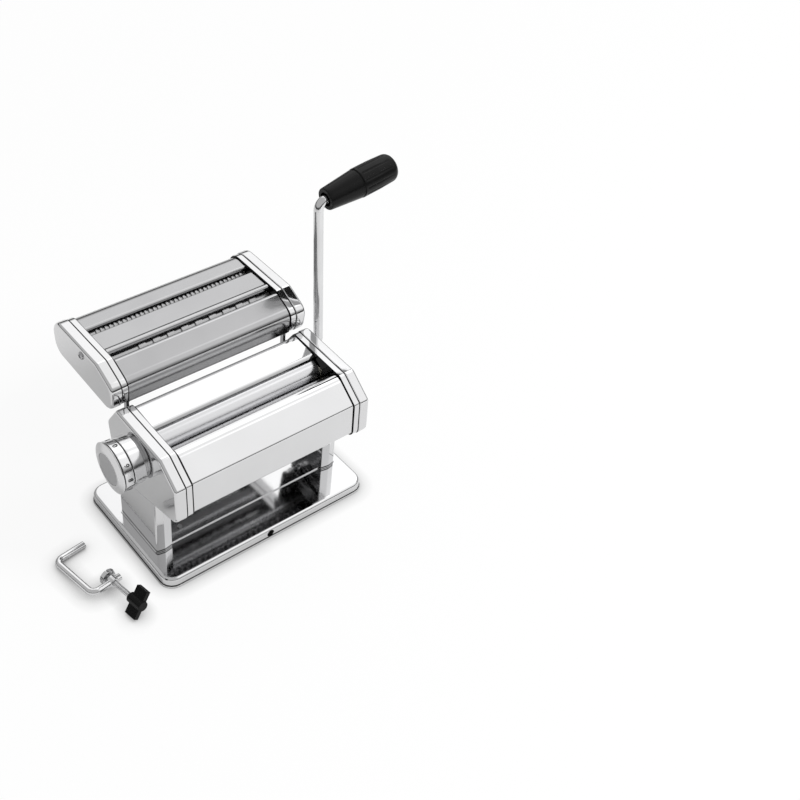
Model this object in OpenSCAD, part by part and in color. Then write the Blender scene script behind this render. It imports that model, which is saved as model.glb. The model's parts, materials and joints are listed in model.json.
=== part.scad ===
// Hand-cranked pasta machine: a roller unit on a pressed base, a lift-off cutter head and a table clamp.
// X runs along the rollers towards the crank, Y to the rear and Z up. The origin is the centre of the
// base's underside.

/* [Base] */
// Width of the base along the rollers
base_w = 200; // [196:1:230]
// Depth of the base, front to rear
base_d = 126; // [110:1:150]
// Height of the base tray
base_h = 10; // [9.5:0.5:14]
// Plan radius of the base corners
base_corner_r = 12; // [8:1:20]
// Radius of the base's upper edge
base_edge_r = 3; // [1.5:0.5:4]
// Width of the lip turned in under the base
base_lip = 6; // [5:0.5:10]
// Width of the rim that stands out round the foot of the base
base_rim = 0.9; // [0.5:0.1:1.5]
// Height of that rim
base_rim_h = 1.8; // [1.2:0.1:1.8]
// Thickness of the pressed sheet steel
sheet_t = 1.2; // [0.8:0.1:1.5]

/* [Body] */
// Clear width between the side plates
throat_w = 152; // [140:1:156]
// Thickness of the side plates
plate_t = 2; // [1.5:0.1:2.5]
// Depth of a side plate's rim
plate_depth = 5.3; // [5:0.1:7]
// Depth of a side cover
cover_depth = 9.7; // [9.5:0.1:11]
// Radius of a cover's outer edge
cover_edge_r = 2.5; // [1:0.1:3]
// Step from a cover's edge in to its side plate's edge
plate_step = 0.6; // [0.3:0.1:1]
// Open seam between a cover or a sheet and the side plate beside it
seam = 0.6; // [0.3:0.1:0.8]
// Height of the roller axes
axis_z = 108; // [100:1:120]
// How far the front roller's axis lies ahead of the base centre
front_roller_ahead = 40; // [36:1:44]
// Front face of a pedestal, ahead of the base centre
cheek_ahead = 31; // [28:1:34]
// Depth of a pedestal, front to rear
cheek_d = 56; // [50:1:60]
// Width of a pedestal's folded flanges
cheek_flange = 14; // [11:0.5:16]
// Height of the crease in a pedestal's flange
cheek_crease = 1.2; // [0.6:0.1:2]
// Width of the foot turned out along a pedestal's lower edge
cheek_foot = 1; // [0.6:0.1:1.5]
// Thickness of that foot
cheek_foot_h = 0.8; // [0.6:0.1:1]
// Diameter of the tie bars
tie_bar_d = 8; // [6:0.5:10]

/* [Rollers and gears] */
// Diameter of the sheet rollers
roller_d = 28; // [26:0.5:30]
// Free space at each end of a roller
roller_end_gap = 1; // [0.5:0.1:2]
// Diameter of the roller journals
journal_d = 10; // [8:0.5:11]
// Widest setting of the rollers
gap_wide = 3; // [2.5:0.1:3.4]
// Thinnest setting of the rollers
gap_thin = 0.5; // [0.3:0.1:0.8]
// Teeth of each roller gear
roller_teeth = 14; // [14]
// Teeth of the drive pinion
pinion_teeth = 10; // [10]
// Face width of the roller gears
gear_w = 6; // [4:0.5:6.5]
// Width of a scraper blade
scraper_t = 2.4; // [1.6:0.2:3]
// Spacing of the ribs under the scrapers
rib_pitch = 6; // [4:0.5:10]

/* [Dial] */
// Largest diameter of the dial knob
knob_d = 43; // [42:1:48]
// Length of the dial knob
knob_len = 22.5; // [22:0.5:25]
// Diameter of the dial shaft
dial_shaft_d = 8; // [6:0.5:9]
// Turn of the dial from its widest to its thinnest setting
dial_sweep = 309; // [250:1:312]
// How far the dial pulls out
dial_pull = 3.5; // [2.5:0.5:3.5]
// Wire diameter of the dial spring
spring_wire_d = 1.2; // [0.8:0.1:1.4]

/* [Crank] */
// Diameter of the crank rod
crank_rod_d = 8; // [7:0.5:9]
// Length of the crank arm between its two axes
crank_arm = 132; // [110:1:150]
// Lean of the crank arm to the rear
crank_lean = 6.5; // [0:0.5:15]
// Rise of the grip towards its outer end
grip_lift = 7; // [0:0.5:12]
// Radius of the crank's bends
crank_bend_r = 7.5; // [6:0.5:9]
// Length of the crank grip
grip_len = 68; // [60:1:80]
// Largest diameter of the crank grip
grip_d = 24.8; // [22:0.2:28]
// Number of flutes round the grip
grip_flutes = 12; // [8:1:14]

/* [Cutter head] */
// Distance between the two cutter openings
cutter_spacing = 34; // [34:0.5:38]
// Diameter of the cutter discs
cutter_disc_d = 16.4; // [15.8:0.1:16.8]
// Depth of the grooves between the cutter discs
cutter_groove = 1.5; // [1.2:0.1:1.8]
// Diameter of the cutter journals
cutter_journal_d = 7; // [6:0.5:7]
// Strip width of the fine cutter
fine_strip = 2; // [1.8:0.1:3]
// Strip width of the wide cutter
wide_strip = 6.5; // [5:0.5:8]
// Teeth of each cutter gear
cutter_teeth = 10; // [10]

/* [Clamp] */
// Diameter of the clamp rod
clamp_rod_d = 6; // [5.5:0.1:6.2]
// Length of the clamp's free arm
clamp_arm = 27; // [24:1:34]
// Reach of the clamp from its back to the screw
clamp_reach = 19; // [16:1:26]
// Distance between the clamp's two arms
clamp_span = 49.5; // [40:0.5:60]
// Diameter of the clamp pad
clamp_pad_d = 14; // [10:0.5:14]
// Diameter of the clamp screw
clamp_screw_d = 4.6; // [4:0.1:4.6]
// Width of the wing handle
wing_w = 24.4; // [23:0.2:30]

/* [Hidden] */
$fn = 48;

// Straight steps in each rounded corner of an outline
corner_steps = 5;
// Radial clearance of a running fit
run_fit = 0.05;
// Clearance of a crank end in its socket
socket_fit = 0.1;
// Free space between pieces that slide or pass
slip = 0.3;
// Thickness given to the end layers of a hull
skin = 0.01;

// Corners of the base's outline: X, Y and corner radius
base_outline = [for (c = [[-1, -1], [1, -1], [1, 1], [-1, 1]])
    [c[0] * base_w / 2, c[1] * base_d / 2, base_corner_r]];

// Levels along X, from the throat outwards
plate_x = throat_w / 2;
web_x = plate_x + plate_t;
rim_x = plate_x + plate_depth;
cover_x = rim_x + cover_depth;
face_x = cover_x - sheet_t;
cheek_x = face_x - slip - 0.2;
gear_x = rim_x + 0.9;

// Roller and gear axes along Y
roller_r = roller_d / 2;
journal_r = journal_d / 2;
gear_m = roller_d / roller_teeth;
gear_tip = roller_r + gear_m;
front_y = -front_roller_ahead;
rear_y = front_y + roller_d + gap_wide;
pinion_y = rear_y + (roller_teeth + pinion_teeth) * gear_m / 2 + slip;
gap_travel = gap_wide - gap_thin;

// Corners of the roller unit's side outline: Y, Z and corner radius, anticlockwise from the lower rear
body_top = axis_z + gear_tip + 6;
body_outline = [
    [pinion_y + 8.7, axis_z - 53, 10],
    [pinion_y + 16.7, axis_z + 0.5, 6],
    [pinion_y + 1.7, body_top, 5],
    [front_y - 5, body_top - 2, 5],
    [front_y - gear_tip - 10.5, axis_z + 3.5, 4],
    [front_y - gear_tip - 11.5, axis_z - 31, 9]
];
body_front_y = body_outline[5][0];
body_low_front = body_outline[5][1];
body_low_rear = body_outline[0][1];

// Cutter axes and the corners of the cutter head's side outline
wide_y = pinion_y + 32.7;
fine_y = wide_y + cutter_spacing;
cutter_z = body_top + 13;
cutter_r = cutter_disc_d / 2;
groove_r = cutter_r - cutter_groove;
cutter_half = (cutter_r + groove_r + slip) / 2;
cutter_m = 2 * (cutter_half - run_fit) / cutter_teeth;
cutter_body_x = plate_x - 4;
cutter_journal_r = cutter_journal_d / 2;
cutter_outline = [
    [pinion_y + 7.7, cutter_z - 21.5, 11],
    [fine_y + 28, cutter_z - 18, 12],
    [fine_y + 31, cutter_z + 14.5, 14],
    [wide_y - 5, cutter_z + 14.5, 5],
    [pinion_y + 4.2, cutter_z + 3.5, 10]
];
cutter_screw_y = (fine_y + wide_y) / 2;
cutter_screw_z = cutter_z + 7.5;

// Pedestals, floor and their fastenings
cheek_front = -cheek_ahead;
cheek_rear = cheek_front + cheek_d;
flange_top_front = body_low_front + (body_low_rear - body_low_front)
    * (cheek_front - body_front_y) / (body_outline[0][0] - body_front_y) - 1;
flange_top_rear = body_low_rear - 1;
cheek_top = axis_z - gear_tip - 6;
cheek_web_x = cheek_x - sheet_t;
stud_r = 4.5;
stud_tenon_r = 2.5;
stud_places = [[front_y + 20, cheek_top - 6], [pinion_y - 1.3, cheek_top - 10]];
floor_screw_x = throat_w / 2 - 16;
floor_screw_places = [[cheek_front + 13, 0], [cheek_rear - 13, 0]];
screw_r = 2;
tie_bar_r = tie_bar_d / 2;
tie_tenon_r = 2.5;
tie_places = [[front_y - 16, axis_z - 16], [rear_y + 16, axis_z - 18]];

// Clamp bore in the base's front wall
clamp_rod_r = clamp_rod_d / 2;
clamp_bore_r = clamp_rod_r + 0.2;
clamp_bore_z = base_h / 2;
clamp_bore_depth = 15;

// Bushes
bush_wall = 3;
bush_flange = 3;
bush_flange_t = 1.8;
roller_bush_r = journal_r + bush_wall;
drive_bush_r = journal_r + 2;
cutter_bush_r = cutter_journal_r + 2;

// Dial, whose axis lies a little ahead of and below the rear roller's axis
dial_y = rear_y - 3;
dial_z = axis_z - 2.5;
dial_x = cover_x + 2;
knob_x = dial_x + slip;
knob_r = knob_d / 2;
dial_shaft_r = dial_shaft_d / 2;
dial_web = 4.7;
dial_bore_r = 9;
dial_head_h = dial_web + 6 + dial_pull;
dial_head_t = 2;
index_ring_r = 17;
index_groove_depth = 1.7;
stop_pin_r = 1.3;
stop_pin_at = 13.6;
cam_low = 6;
cam_x = rim_x + 1.7;
cam_t = 4;
follower_r = 2;
follower_gap = 0.15;

// Crank
crank_rod_r = crank_rod_d / 2;
socket_r = crank_rod_r + socket_fit;
socket_x = cover_x + 2;
socket_bottom_x = rim_x + 2.1;
drive_pin_r = 1;
drive_pin_len = 11;
drive_slot_depth = 3.5;
drive_pin_x = socket_x - drive_slot_depth + drive_pin_r + slip;
crank_bend_x = socket_x + 1;
grip_gap = 0.4;
// Each straight runs a little over the bends and is a hair thicker, so that they join cleanly
arm_lap = 0.2;
arm_ease = 0.02;
// The arm leans outwards just enough to pass the base's edge
crank_flare = atan((base_w / 2 + crank_rod_r + 0.4 - crank_bend_x - crank_bend_r) / (axis_z - base_h));
crank_turn = 90 - crank_flare;
crank_low = [crank_bend_x + crank_bend_r * sin(crank_turn), crank_bend_r * (1 - cos(crank_turn))];
crank_run = (crank_arm + crank_bend_r * (2 * cos(crank_turn) - 1 - cos(grip_lift))) / sin(crank_turn);
crank_high = crank_low + crank_run * [cos(crank_turn), sin(crank_turn)];
grip_bend = crank_high + crank_bend_r * [sin(crank_turn), -cos(crank_turn)];
grip_at = grip_bend + crank_bend_r * [-sin(grip_lift), cos(grip_lift)];
grip_r = grip_d / 2;

// Clamp, lying on its free arm and one edge of its wing beside the machine
clamp_x = -base_w / 2 - 56.3;
clamp_y = 12.7;
clamp_skew = 7;
clamp_screw_r = clamp_screw_d / 2;
clamp_eye_r = clamp_rod_r + 0.9;
clamp_bend_r = 6;
clamp_tail = 7;
pad_t = 3;
pad_y = 4.6;
wing_hub_r = 4.3;
wing_hub_len = 15.5;
wing_y = -23;
wing_t = 4.2;
wing_turn = 52;
wing_drop = wing_w / 2 * sin(wing_turn) + wing_t / 2 * cos(wing_turn);
wing_arm = clamp_span - wing_y + 2.5;
clamp_tilt = atan(wing_drop / wing_arm) - asin(clamp_rod_r / norm([wing_drop, wing_arm]));

// Docking rails behind the roller unit, and the shoes of the cutter head that slide over them
rail_t = 2.8;
rail_rear = pinion_y + 16;
rail_front = rail_rear - 4;
rail_top = cutter_z - 10;
shoe_t = 1.6;
shoe_drop = 9;

// Smaller pieces
slide_half = 10;
sleeve_r = 6.5;
rib_count = floor((plate_x - 2) / rib_pitch);
cutter_gear_x = rim_x + 0.4;
cutter_gear_w = 4.5;
cutter_tie_places = [[fine_y + 19, cutter_z - 11], [cutter_screw_y, cutter_z - 14]];

// Plane geometry

function unit(v) = v / norm(v);
function flat(p) = [p[0], p[1]];
function side_normal(a, b) = let (d = unit(b - a)) [-d[1], d[0]];
function reverse(p) = [for (i = [len(p) - 1 : -1 : 0]) p[i]];

// Arc that rounds corner p between a and b by the radius p[2]
function corner(a, p, b) =
    let (u = unit(a - flat(p)), v = unit(b - flat(p)), half = acos(u * v) / 2,
        c = flat(p) + unit(u + v) * p[2] / sin(half),
        s = flat(p) + u * p[2] / tan(half) - c, e = flat(p) + v * p[2] / tan(half) - c,
        a0 = atan2(s[1], s[0]), turn = (atan2(e[1], e[0]) - a0 + 540) % 360 - 180)
    [for (i = [0 : corner_steps])
        c + p[2] * [cos(a0 + turn * i / corner_steps), sin(a0 + turn * i / corner_steps)]];

// Closed outline with its corners rounded
function round_loop(p) = let (n = len(p))
    [for (i = [0 : n - 1]) each corner(flat(p[(i + n - 1) % n]), p[i], flat(p[(i + 1) % n]))];

// Open path with its bends rounded
function round_open(p) = let (n = len(p))
    [flat(p[0]), for (i = [1 : n - 2]) each corner(flat(p[i - 1]), p[i], flat(p[i + 1])), flat(p[n - 1])];

// Closed anticlockwise outline moved inwards by d
function inset(p, d) = let (n = len(p))
    [for (i = [0 : n - 1])
        let (a = side_normal(flat(p[(i + n - 1) % n]), flat(p[i])),
            b = side_normal(flat(p[i]), flat(p[(i + 1) % n])),
            q = flat(p[i]) + (a + b) * d / (1 + a * b))
        [q[0], q[1], max(p[i][2] - d, 0.4)]];

// Open path moved sideways by d
function offset_open(p, d) = let (n = len(p))
    [for (i = [0 : n - 1])
        let (a = side_normal(p[max(i - 1, 0)], p[max(i, 1)]),
            b = side_normal(p[min(i, n - 2)], p[min(i + 1, n - 1)]))
        p[i] + (a + b) * d / (1 + a * b)];

// Strip of sheet of thickness t along a bent path
function strip(p, t) = let (q = round_open(p)) concat(offset_open(q, t / 2), reverse(offset_open(q, -t / 2)));

// Spur gear outline, with a tooth at the angle phase
function gear(teeth, m, phase) =
    let (rp = teeth * m / 2, step = 360 / teeth,
        tooth = [[rp - 1.2 * m, -0.30], [rp, -0.21], [rp + m, -0.09],
            [rp + m, 0.09], [rp, 0.21], [rp - 1.2 * m, 0.30]])
    [for (i = [0 : teeth - 1]) for (t = tooth)
        let (a = phase + (i + t[1]) * step) t[0] * [cos(a), sin(a)]];

// Placing

// Local X, Y and Z become Y, Z and X, from the point x, y, z
module on_x(x, y, z) {
    translate([x, y, z]) rotate([90, 0, 90]) children();
}

module along_x(x0, x1) {
    on_x(x0, 0, 0) linear_extrude(x1 - x0) children();
}

module along_y(y0, y1) {
    translate([0, y1, 0]) rotate([90, 0, 0]) linear_extrude(y1 - y0) children();
}

module rod_x(x0, x1, y, z, r) {
    on_x(x0, y, z) cylinder(h = x1 - x0, r = r);
}

module left() {
    mirror([1, 0, 0]) children();
}

module both_sides() {
    children();
    left() children();
}

// Box between two opposite corners
module block(a, b) {
    translate(a) cube(b - a);
}

// Shapes that repeat

// Base tray's outer or inner form: a rounded slab with a rounded upper edge
module tray_form(in, z0, z1) {
    hull() {
        translate([0, 0, z0])
            linear_extrude(z1 - z0 - base_edge_r) polygon(round_loop(inset(base_outline, in)));
        for (a = [22.5 : 22.5 : 90])
            translate([0, 0, z1 - base_edge_r + base_edge_r * sin(a) - skin])
                linear_extrude(skin)
                    polygon(round_loop(inset(base_outline, in + base_edge_r * (1 - cos(a)))));
    }
}

// Side plate with a rim turned outwards round its outline
module rimmed_plate(outline) {
    difference() {
        along_x(plate_x, rim_x) polygon(round_loop(inset(outline, plate_step)));
        along_x(web_x, rim_x + 1) polygon(round_loop(inset(outline, plate_step + sheet_t)));
    }
}

// Convex cap over an outline, with a rounded outer edge
module rounded_cap(outline, x0, x1) {
    hull() {
        along_x(x0, x1 - cover_edge_r) polygon(round_loop(outline));
        for (a = [22.5 : 22.5 : 90]) let (x = x1 - cover_edge_r * (1 - sin(a)))
            along_x(x - skin, x) polygon(round_loop(inset(outline, cover_edge_r * (1 - cos(a)))));
    }
}

// Side cover: a shell with a rounded edge, open towards the machine, with an open seam along the plate's rim
module cover_shell(outline) {
    difference() {
        union() {
            rounded_cap(outline, rim_x + seam, cover_x);
            along_x(rim_x, rim_x + seam + 0.1) polygon(round_loop(inset(outline, sheet_t / 2)));
        }
        rounded_cap(inset(outline, sheet_t), rim_x - 1, face_x);
    }
}

// Bush pressed into a side plate, with its flange outside
module flanged_bush(y, z, r, bore_r) {
    difference() {
        union() {
            rod_x(plate_x, web_x, y, z, r);
            rod_x(web_x, web_x + bush_flange_t, y, z, r + bush_flange);
        }
        rod_x(plate_x - 1, web_x + bush_flange_t + 1, y, z, bore_r + run_fit);
    }
}

// Sheet bent along a path, between the side plates
// Where it leaves a seam there, its last leg has tabs that reach the plates
module throat_sheet(path, t, gap = 0) {
    last = len(path) - 1;
    along_x(gap - plate_x, plate_x - gap) polygon(strip(path, t));
    if (gap > 0) along_x(-plate_x, plate_x)
        polygon(strip([(flat(path[last - 1]) + flat(path[last])) / 2, flat(path[last])], t - 0.2));
}

// Roller gear with its bore
module roller_gear(y, phase) {
    on_x(gear_x, y, axis_z) linear_extrude(gear_w) difference() {
        polygon(gear(roller_teeth, gear_m, phase));
        circle(r = journal_r + run_fit);
    }
}

// Sheet roller with its two journals
module sheet_roller(y) {
    rod_x(-plate_x + roller_end_gap, plate_x - roller_end_gap, y, axis_z, roller_r);
    rod_x(-web_x - bush_flange_t, gear_x + gear_w + slip, y, axis_z, journal_r);
}

// Crank socket with its cross slot, at the outer end of a driven hub
module crank_socket(y, z, x_in) {
    rod_x(x_in, socket_x + 1, y, z, socket_r);
    translate([0, y, z]) rotate([-crank_lean, 0, 0])
        block([socket_x - drive_slot_depth, -drive_pin_r - slip, -drive_pin_len / 2 - slip],
            [socket_x + 1, drive_pin_r + slip, drive_pin_len / 2 + slip]);
}

// Base

module base_plate() {
    color("silver") difference() {
        union() {
            tray_form(base_rim, 0, base_h);
            linear_extrude(base_rim_h) polygon(round_loop(base_outline));
        }
        tray_form(base_rim + sheet_t, sheet_t, base_h - sheet_t);
        translate([0, 0, -1]) linear_extrude(2 + sheet_t) polygon(round_loop(inset(base_outline, base_lip)));
        translate([0, -base_d / 2 - 1, clamp_bore_z]) rotate([-90, 0, 0])
            cylinder(h = base_rim + sheet_t + base_edge_r + 1, r = clamp_bore_r);
        floor_screw_holes(screw_r + slip);
    }
}

module clamp_socket() {
    y0 = -base_d / 2 + base_rim + sheet_t + base_edge_r;
    y1 = -base_d / 2 + clamp_bore_depth;
    color("dimgray") difference() {
        block([-8, y0, sheet_t], [8, y1, base_h - sheet_t]);
        translate([0, y0 - 1, clamp_bore_z]) rotate([-90, 0, 0]) cylinder(h = y1 - y0 + 2, r = clamp_bore_r);
    }
}

module floor_screw_holes(r) {
    for (s = [-1, 1]) for (p = floor_screw_places)
        translate([s * floor_screw_x, p[0], 0]) cylinder(h = base_h + 4, r = r);
}

module body_floor() {
    leg_x = cheek_web_x - sheet_t / 2;
    color("silver") difference() {
        along_y(cheek_front + 2 * sheet_t, cheek_rear - 2 * sheet_t)
            polygon(strip([[-leg_x, base_h + 14], [-leg_x, base_h + sheet_t / 2, 2],
                [leg_x, base_h + sheet_t / 2, 2], [leg_x, base_h + 14]], sheet_t));
        floor_screw_holes(screw_r + run_fit);
    }
}

module base_screws() {
    head_z = base_h - sheet_t;
    color("gray") for (s = [-1, 1]) for (p = floor_screw_places)
        translate([s * floor_screw_x, p[0], 0]) {
            translate([0, 0, head_z - 2.4]) cylinder(h = 2.4, r = 3.8);
            translate([0, 0, head_z]) cylinder(h = 2 * sheet_t + 1, r = screw_r);
        }
}

// Pedestals and roller unit

module cheek() {
    yf = cheek_front + sheet_t / 2;
    yr = cheek_rear - sheet_t / 2;
    xo = cheek_x - sheet_t / 2;
    xm = cheek_x - cheek_flange / 2;
    xe = cheek_x - cheek_flange;
    keep_x = cheek_web_x - 1.4;
    block([xo, cheek_front + 1, base_h], [cheek_x + cheek_foot, cheek_rear - 1, base_h + cheek_foot_h]);
    difference() {
        translate([0, 0, base_h]) linear_extrude(cheek_top - base_h)
            polygon(strip([[xe, yr], [xm, yr + cheek_crease, 1], [xo, yr, 1.3], [xo, yf, 1.3],
                [xm, yf - cheek_crease, 1], [xe, yf]], sheet_t));
        block([xe - 1, cheek_front - 5, flange_top_front], [keep_x, 0, cheek_top + 1]);
        block([xe - 1, 0, flange_top_rear], [keep_x, cheek_rear + 5, cheek_top + 1]);
        for (p = stud_places)
            rod_x(cheek_web_x - 1, cheek_x + 1, p[0], p[1], stud_tenon_r + run_fit);
    }
}

module left_cheek() {
    color("silver") left() cheek();
}

module right_cheek() {
    color("silver") cheek();
}

module frame_studs() {
    color("gray") both_sides() for (p = stud_places) {
        rod_x(web_x, cheek_web_x, p[0], p[1], stud_r);
        rod_x(plate_x, cheek_x, p[0], p[1], stud_tenon_r);
    }
}

module side_plate() {
    difference() {
        rimmed_plate(body_outline);
        rod_x(plate_x - 1, web_x + 1, front_y, axis_z, roller_bush_r + run_fit);
        block([plate_x - 1, rear_y - slide_half - gap_travel - slip, axis_z - slide_half - run_fit],
            [web_x + 1, rear_y + slide_half + slip, axis_z + slide_half + run_fit]);
        for (p = stud_places) rod_x(plate_x - 1, web_x + 1, p[0], p[1], stud_tenon_r + run_fit);
        for (p = tie_places) rod_x(plate_x - 1, web_x + 1, p[0], p[1], tie_tenon_r + run_fit);
    }
}

module left_side_plate() {
    color("silver") left() side_plate();
}

module right_side_plate() {
    color("silver") difference() {
        side_plate();
        rod_x(plate_x - 1, web_x + 1, pinion_y, axis_z, drive_bush_r + run_fit);
    }
}

module body_cover() {
    difference() {
        cover_shell(body_outline);
        block([cheek_web_x - 1.8, cheek_front - 0.6, body_low_rear - 5],
            [face_x, cheek_rear + 0.6, body_low_front]);
    }
}

module left_cover() {
    color("silver") left() difference() {
        body_cover();
        rod_x(face_x - 1, cover_x + 1, dial_y, dial_z, dial_shaft_r + slip);
    }
}

module right_cover() {
    color("silver") difference() {
        body_cover();
        rod_x(face_x - 1, cover_x + 1, pinion_y, axis_z, sleeve_r + slip);
    }
}

module tie_bars() {
    color("gray") for (p = tie_places) {
        rod_x(-plate_x, plate_x, p[0], p[1], tie_bar_r);
        rod_x(-web_x - 1, web_x + 1, p[0], p[1], tie_tenon_r);
    }
}

module front_hood() {
    low = axis_z - 26;
    face = body_front_y + plate_step + sheet_t;
    color("silver") throat_sheet([
        [front_y + 2.6, axis_z + roller_r + 1],
        [front_y + 0.8, body_top - 3.4, 4.2],
        [front_y - 9.6, body_top - 7.4, 2.5],
        [face + 1, axis_z + 3, 3],
        [face, low, 2.5],
        [face + 6, low - 2]], sheet_t, seam);
}

module rear_deck() {
    color("silver") throat_sheet([
        [rear_y - gap_travel, axis_z + roller_r + 1.6],
        [rear_y - gap_travel + 1.8, body_top - 4, 2],
        [pinion_y, body_top - 1.9, 2.5],
        [pinion_y + 1, axis_z + 11]], sheet_t, seam);
}

// Scraper blade under a roller, with a row of ribs below it
module scraper(y, facing) {
    tip_r = roller_r + scraper_t / 2 + 0.5;
    translate([0, y, axis_z]) mirror([0, facing < 0 ? 1 : 0, 0]) {
        throat_sheet([[-10, -20], [0, -20, 3], [tip_r * sin(25), -tip_r * cos(25)]], scraper_t);
        for (x = [-rib_count : rib_count])
            along_x(x * rib_pitch - 0.7, x * rib_pitch + 0.7)
                polygon([[-10, -20], [-1, -20], [3, -17.5], [1, -28], [-7, -28]]);
    }
}

module front_scraper() {
    color("dimgray") scraper(front_y, 1);
}

module rear_scraper() {
    color("dimgray") scraper(rear_y - gap_travel, -1);
}

// Upright rails behind the roller unit, where the cutter head slides on
module dock_rails() {
    color("gray") both_sides() {
        block([plate_x - rail_t, rear_y + roller_r + 1.5, axis_z - 8], [plate_x, rail_rear, axis_z + 2]);
        block([plate_x - rail_t, rail_front, axis_z + 2], [plate_x - slip, rail_rear, rail_top]);
    }
}

module roller_bushes() {
    color("ivory") both_sides() flanged_bush(front_y, axis_z, roller_bush_r, journal_r);
}

module drive_bush() {
    color("ivory") flanged_bush(pinion_y, axis_z, drive_bush_r, journal_r);
}

module front_roller() {
    color("gainsboro") sheet_roller(front_y);
}

module front_gear() {
    color("dimgray") roller_gear(front_y, 180 / roller_teeth);
}

module rear_roller() {
    color("gainsboro") sheet_roller(rear_y);
}

module rear_gear() {
    color("dimgray") roller_gear(rear_y, 0);
}

// Bearing block of the rear roller, sliding in a slot of the side plate
module slide_block() {
    difference() {
        union() {
            block([plate_x, rear_y - slide_half, axis_z - slide_half],
                [web_x + run_fit, rear_y + slide_half, axis_z + slide_half]);
            block([web_x + run_fit, rear_y - slide_half - 3.5, axis_z - slide_half - 3],
                [web_x + bush_flange_t, rear_y + slide_half, axis_z + slide_half + 3]);
        }
        rod_x(plate_x - 1, web_x + 4, rear_y, axis_z, journal_r + run_fit);
    }
}

module left_slide_block() {
    color("ivory") left() {
        slide_block();
        rod_x(web_x + bush_flange_t - 0.5, cam_x + cam_t, dial_y - cam_low - follower_gap - follower_r,
            dial_z, follower_r);
    }
}

module right_slide_block() {
    color("ivory") slide_block();
}

module drive_pinion() {
    color("dimgray") difference() {
        union() {
            on_x(gear_x, pinion_y, axis_z) linear_extrude(gear_w)
                polygon(gear(pinion_teeth, gear_m, 180 / pinion_teeth));
            rod_x(plate_x, gear_x + skin, pinion_y, axis_z, journal_r);
            rod_x(gear_x + gear_w - skin, socket_x, pinion_y, axis_z, sleeve_r);
        }
        crank_socket(pinion_y, axis_z, socket_bottom_x);
    }
}

// Crank

// Round rod bent through an angle about a centre in the XZ plane, from the angle start
module rod_bend(c, start, angle) {
    translate([c[0], 0, c[1]]) rotate([90, 0, 0]) rotate([0, 0, start])
        rotate_extrude(angle = angle) translate([crank_bend_r, 0]) circle(r = crank_rod_r);
}

// Straight of the crank from a point of its plane, turned away from the arm's own direction
module rod_run(from, turn, len) {
    translate([from[0], 0, from[1]]) rotate([0, turn, 0]) translate([0, 0, -arm_lap])
        cylinder(h = len + 2 * arm_lap, r = crank_rod_r + arm_ease);
}

module crank_rod() {
    color("gainsboro") translate([0, pinion_y, axis_z]) rotate([-crank_lean, 0, 0]) {
        rod_x(socket_bottom_x + 0.4, crank_bend_x, 0, 0, crank_rod_r);
        translate([drive_pin_x, 0, -drive_pin_len / 2]) cylinder(h = drive_pin_len, r = drive_pin_r);
        rod_bend([crank_bend_x, crank_bend_r], -90, crank_turn);
        rod_run(crank_low, crank_flare, crank_run);
        rod_bend(grip_bend, 90 + grip_lift, crank_turn - grip_lift);
        rod_run(grip_at, 90 - grip_lift, grip_len - 12);
    }
}

module crank_grip() {
    neck_len = grip_len * 0.45;
    body_start = neck_len + 1.5;
    round_r = 6;
    end_arc = [for (a = [0 : 15 : 90])
        [grip_r - 0.6 - round_r + round_r * cos(a), grip_len - round_r + round_r * sin(a)]];
    color([0.08, 0.08, 0.08]) translate([0, pinion_y, axis_z]) rotate([-crank_lean, 0, 0])
        translate([grip_at[0], 0, grip_at[1]]) rotate([0, 90 - grip_lift, 0])
        translate([0, 0, grip_gap]) difference() {
            rotate_extrude() polygon(concat(
                [[0, 0], [grip_r - 3.6, 0], [grip_r - 3.1, 0.8], [grip_r - 0.4, neck_len - 0.6],
                    [grip_r - 0.9, neck_len], [grip_r - 0.9, neck_len + 0.7], [grip_r, body_start],
                    [grip_r, grip_len * 0.7]],
                end_arc, [[0, grip_len]]));
            translate([0, 0, -1]) cylinder(h = grip_len - 10, r = crank_rod_r + socket_fit);
            translate([0, 0, -1]) cylinder(h = 5, r = grip_r - 6.4);
            for (i = [0 : grip_flutes - 1]) rotate([0, 0, i * 360 / grip_flutes])
                translate([grip_r + 1.1, 0, body_start + 2]) cylinder(h = grip_len - body_start - 9, r = 1.7);
        }
}

// Dial

module index_ring() {
    land = 35;
    color("gray") left() on_x(cover_x, dial_y, dial_z) difference() {
        cylinder(h = dial_x - cover_x, r = index_ring_r);
        translate([0, 0, -1]) cylinder(h = dial_x - cover_x + 2, r = dial_shaft_r + run_fit);
        translate([0, 0, dial_x - cover_x - index_groove_depth])
            rotate([0, 0, 90 - (360 - land - dial_sweep) / 2])
            rotate_extrude(angle = 360 - land)
                translate([stop_pin_at - stop_pin_r - slip, 0])
                    square([2 * (stop_pin_r + slip), index_groove_depth + 1]);
    }
}

// Radius of the dial cam after a turn of a degrees
function cam_radius(a) = a <= dial_sweep ? cam_low + gap_travel * a / dial_sweep
    : a <= dial_sweep + 8 ? cam_low + gap_travel
    : a < 340 ? cam_low + gap_travel * (340 - a) / (332 - dial_sweep) : cam_low;

module dial_shaft() {
    color("gray") left() on_x(0, dial_y, dial_z) {
        translate([0, 0, cam_x]) linear_extrude(cam_t)
            polygon([for (a = [0 : 5 : 355]) cam_radius(a) * [cos(180 - a), sin(180 - a)]]);
        translate([0, 0, cam_x + cam_t]) cylinder(h = knob_x + dial_head_h - cam_x - cam_t, r = dial_shaft_r);
        translate([0, 0, knob_x + dial_head_h]) cylinder(h = dial_head_t, r = dial_bore_r - 1.5);
    }
}

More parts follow.
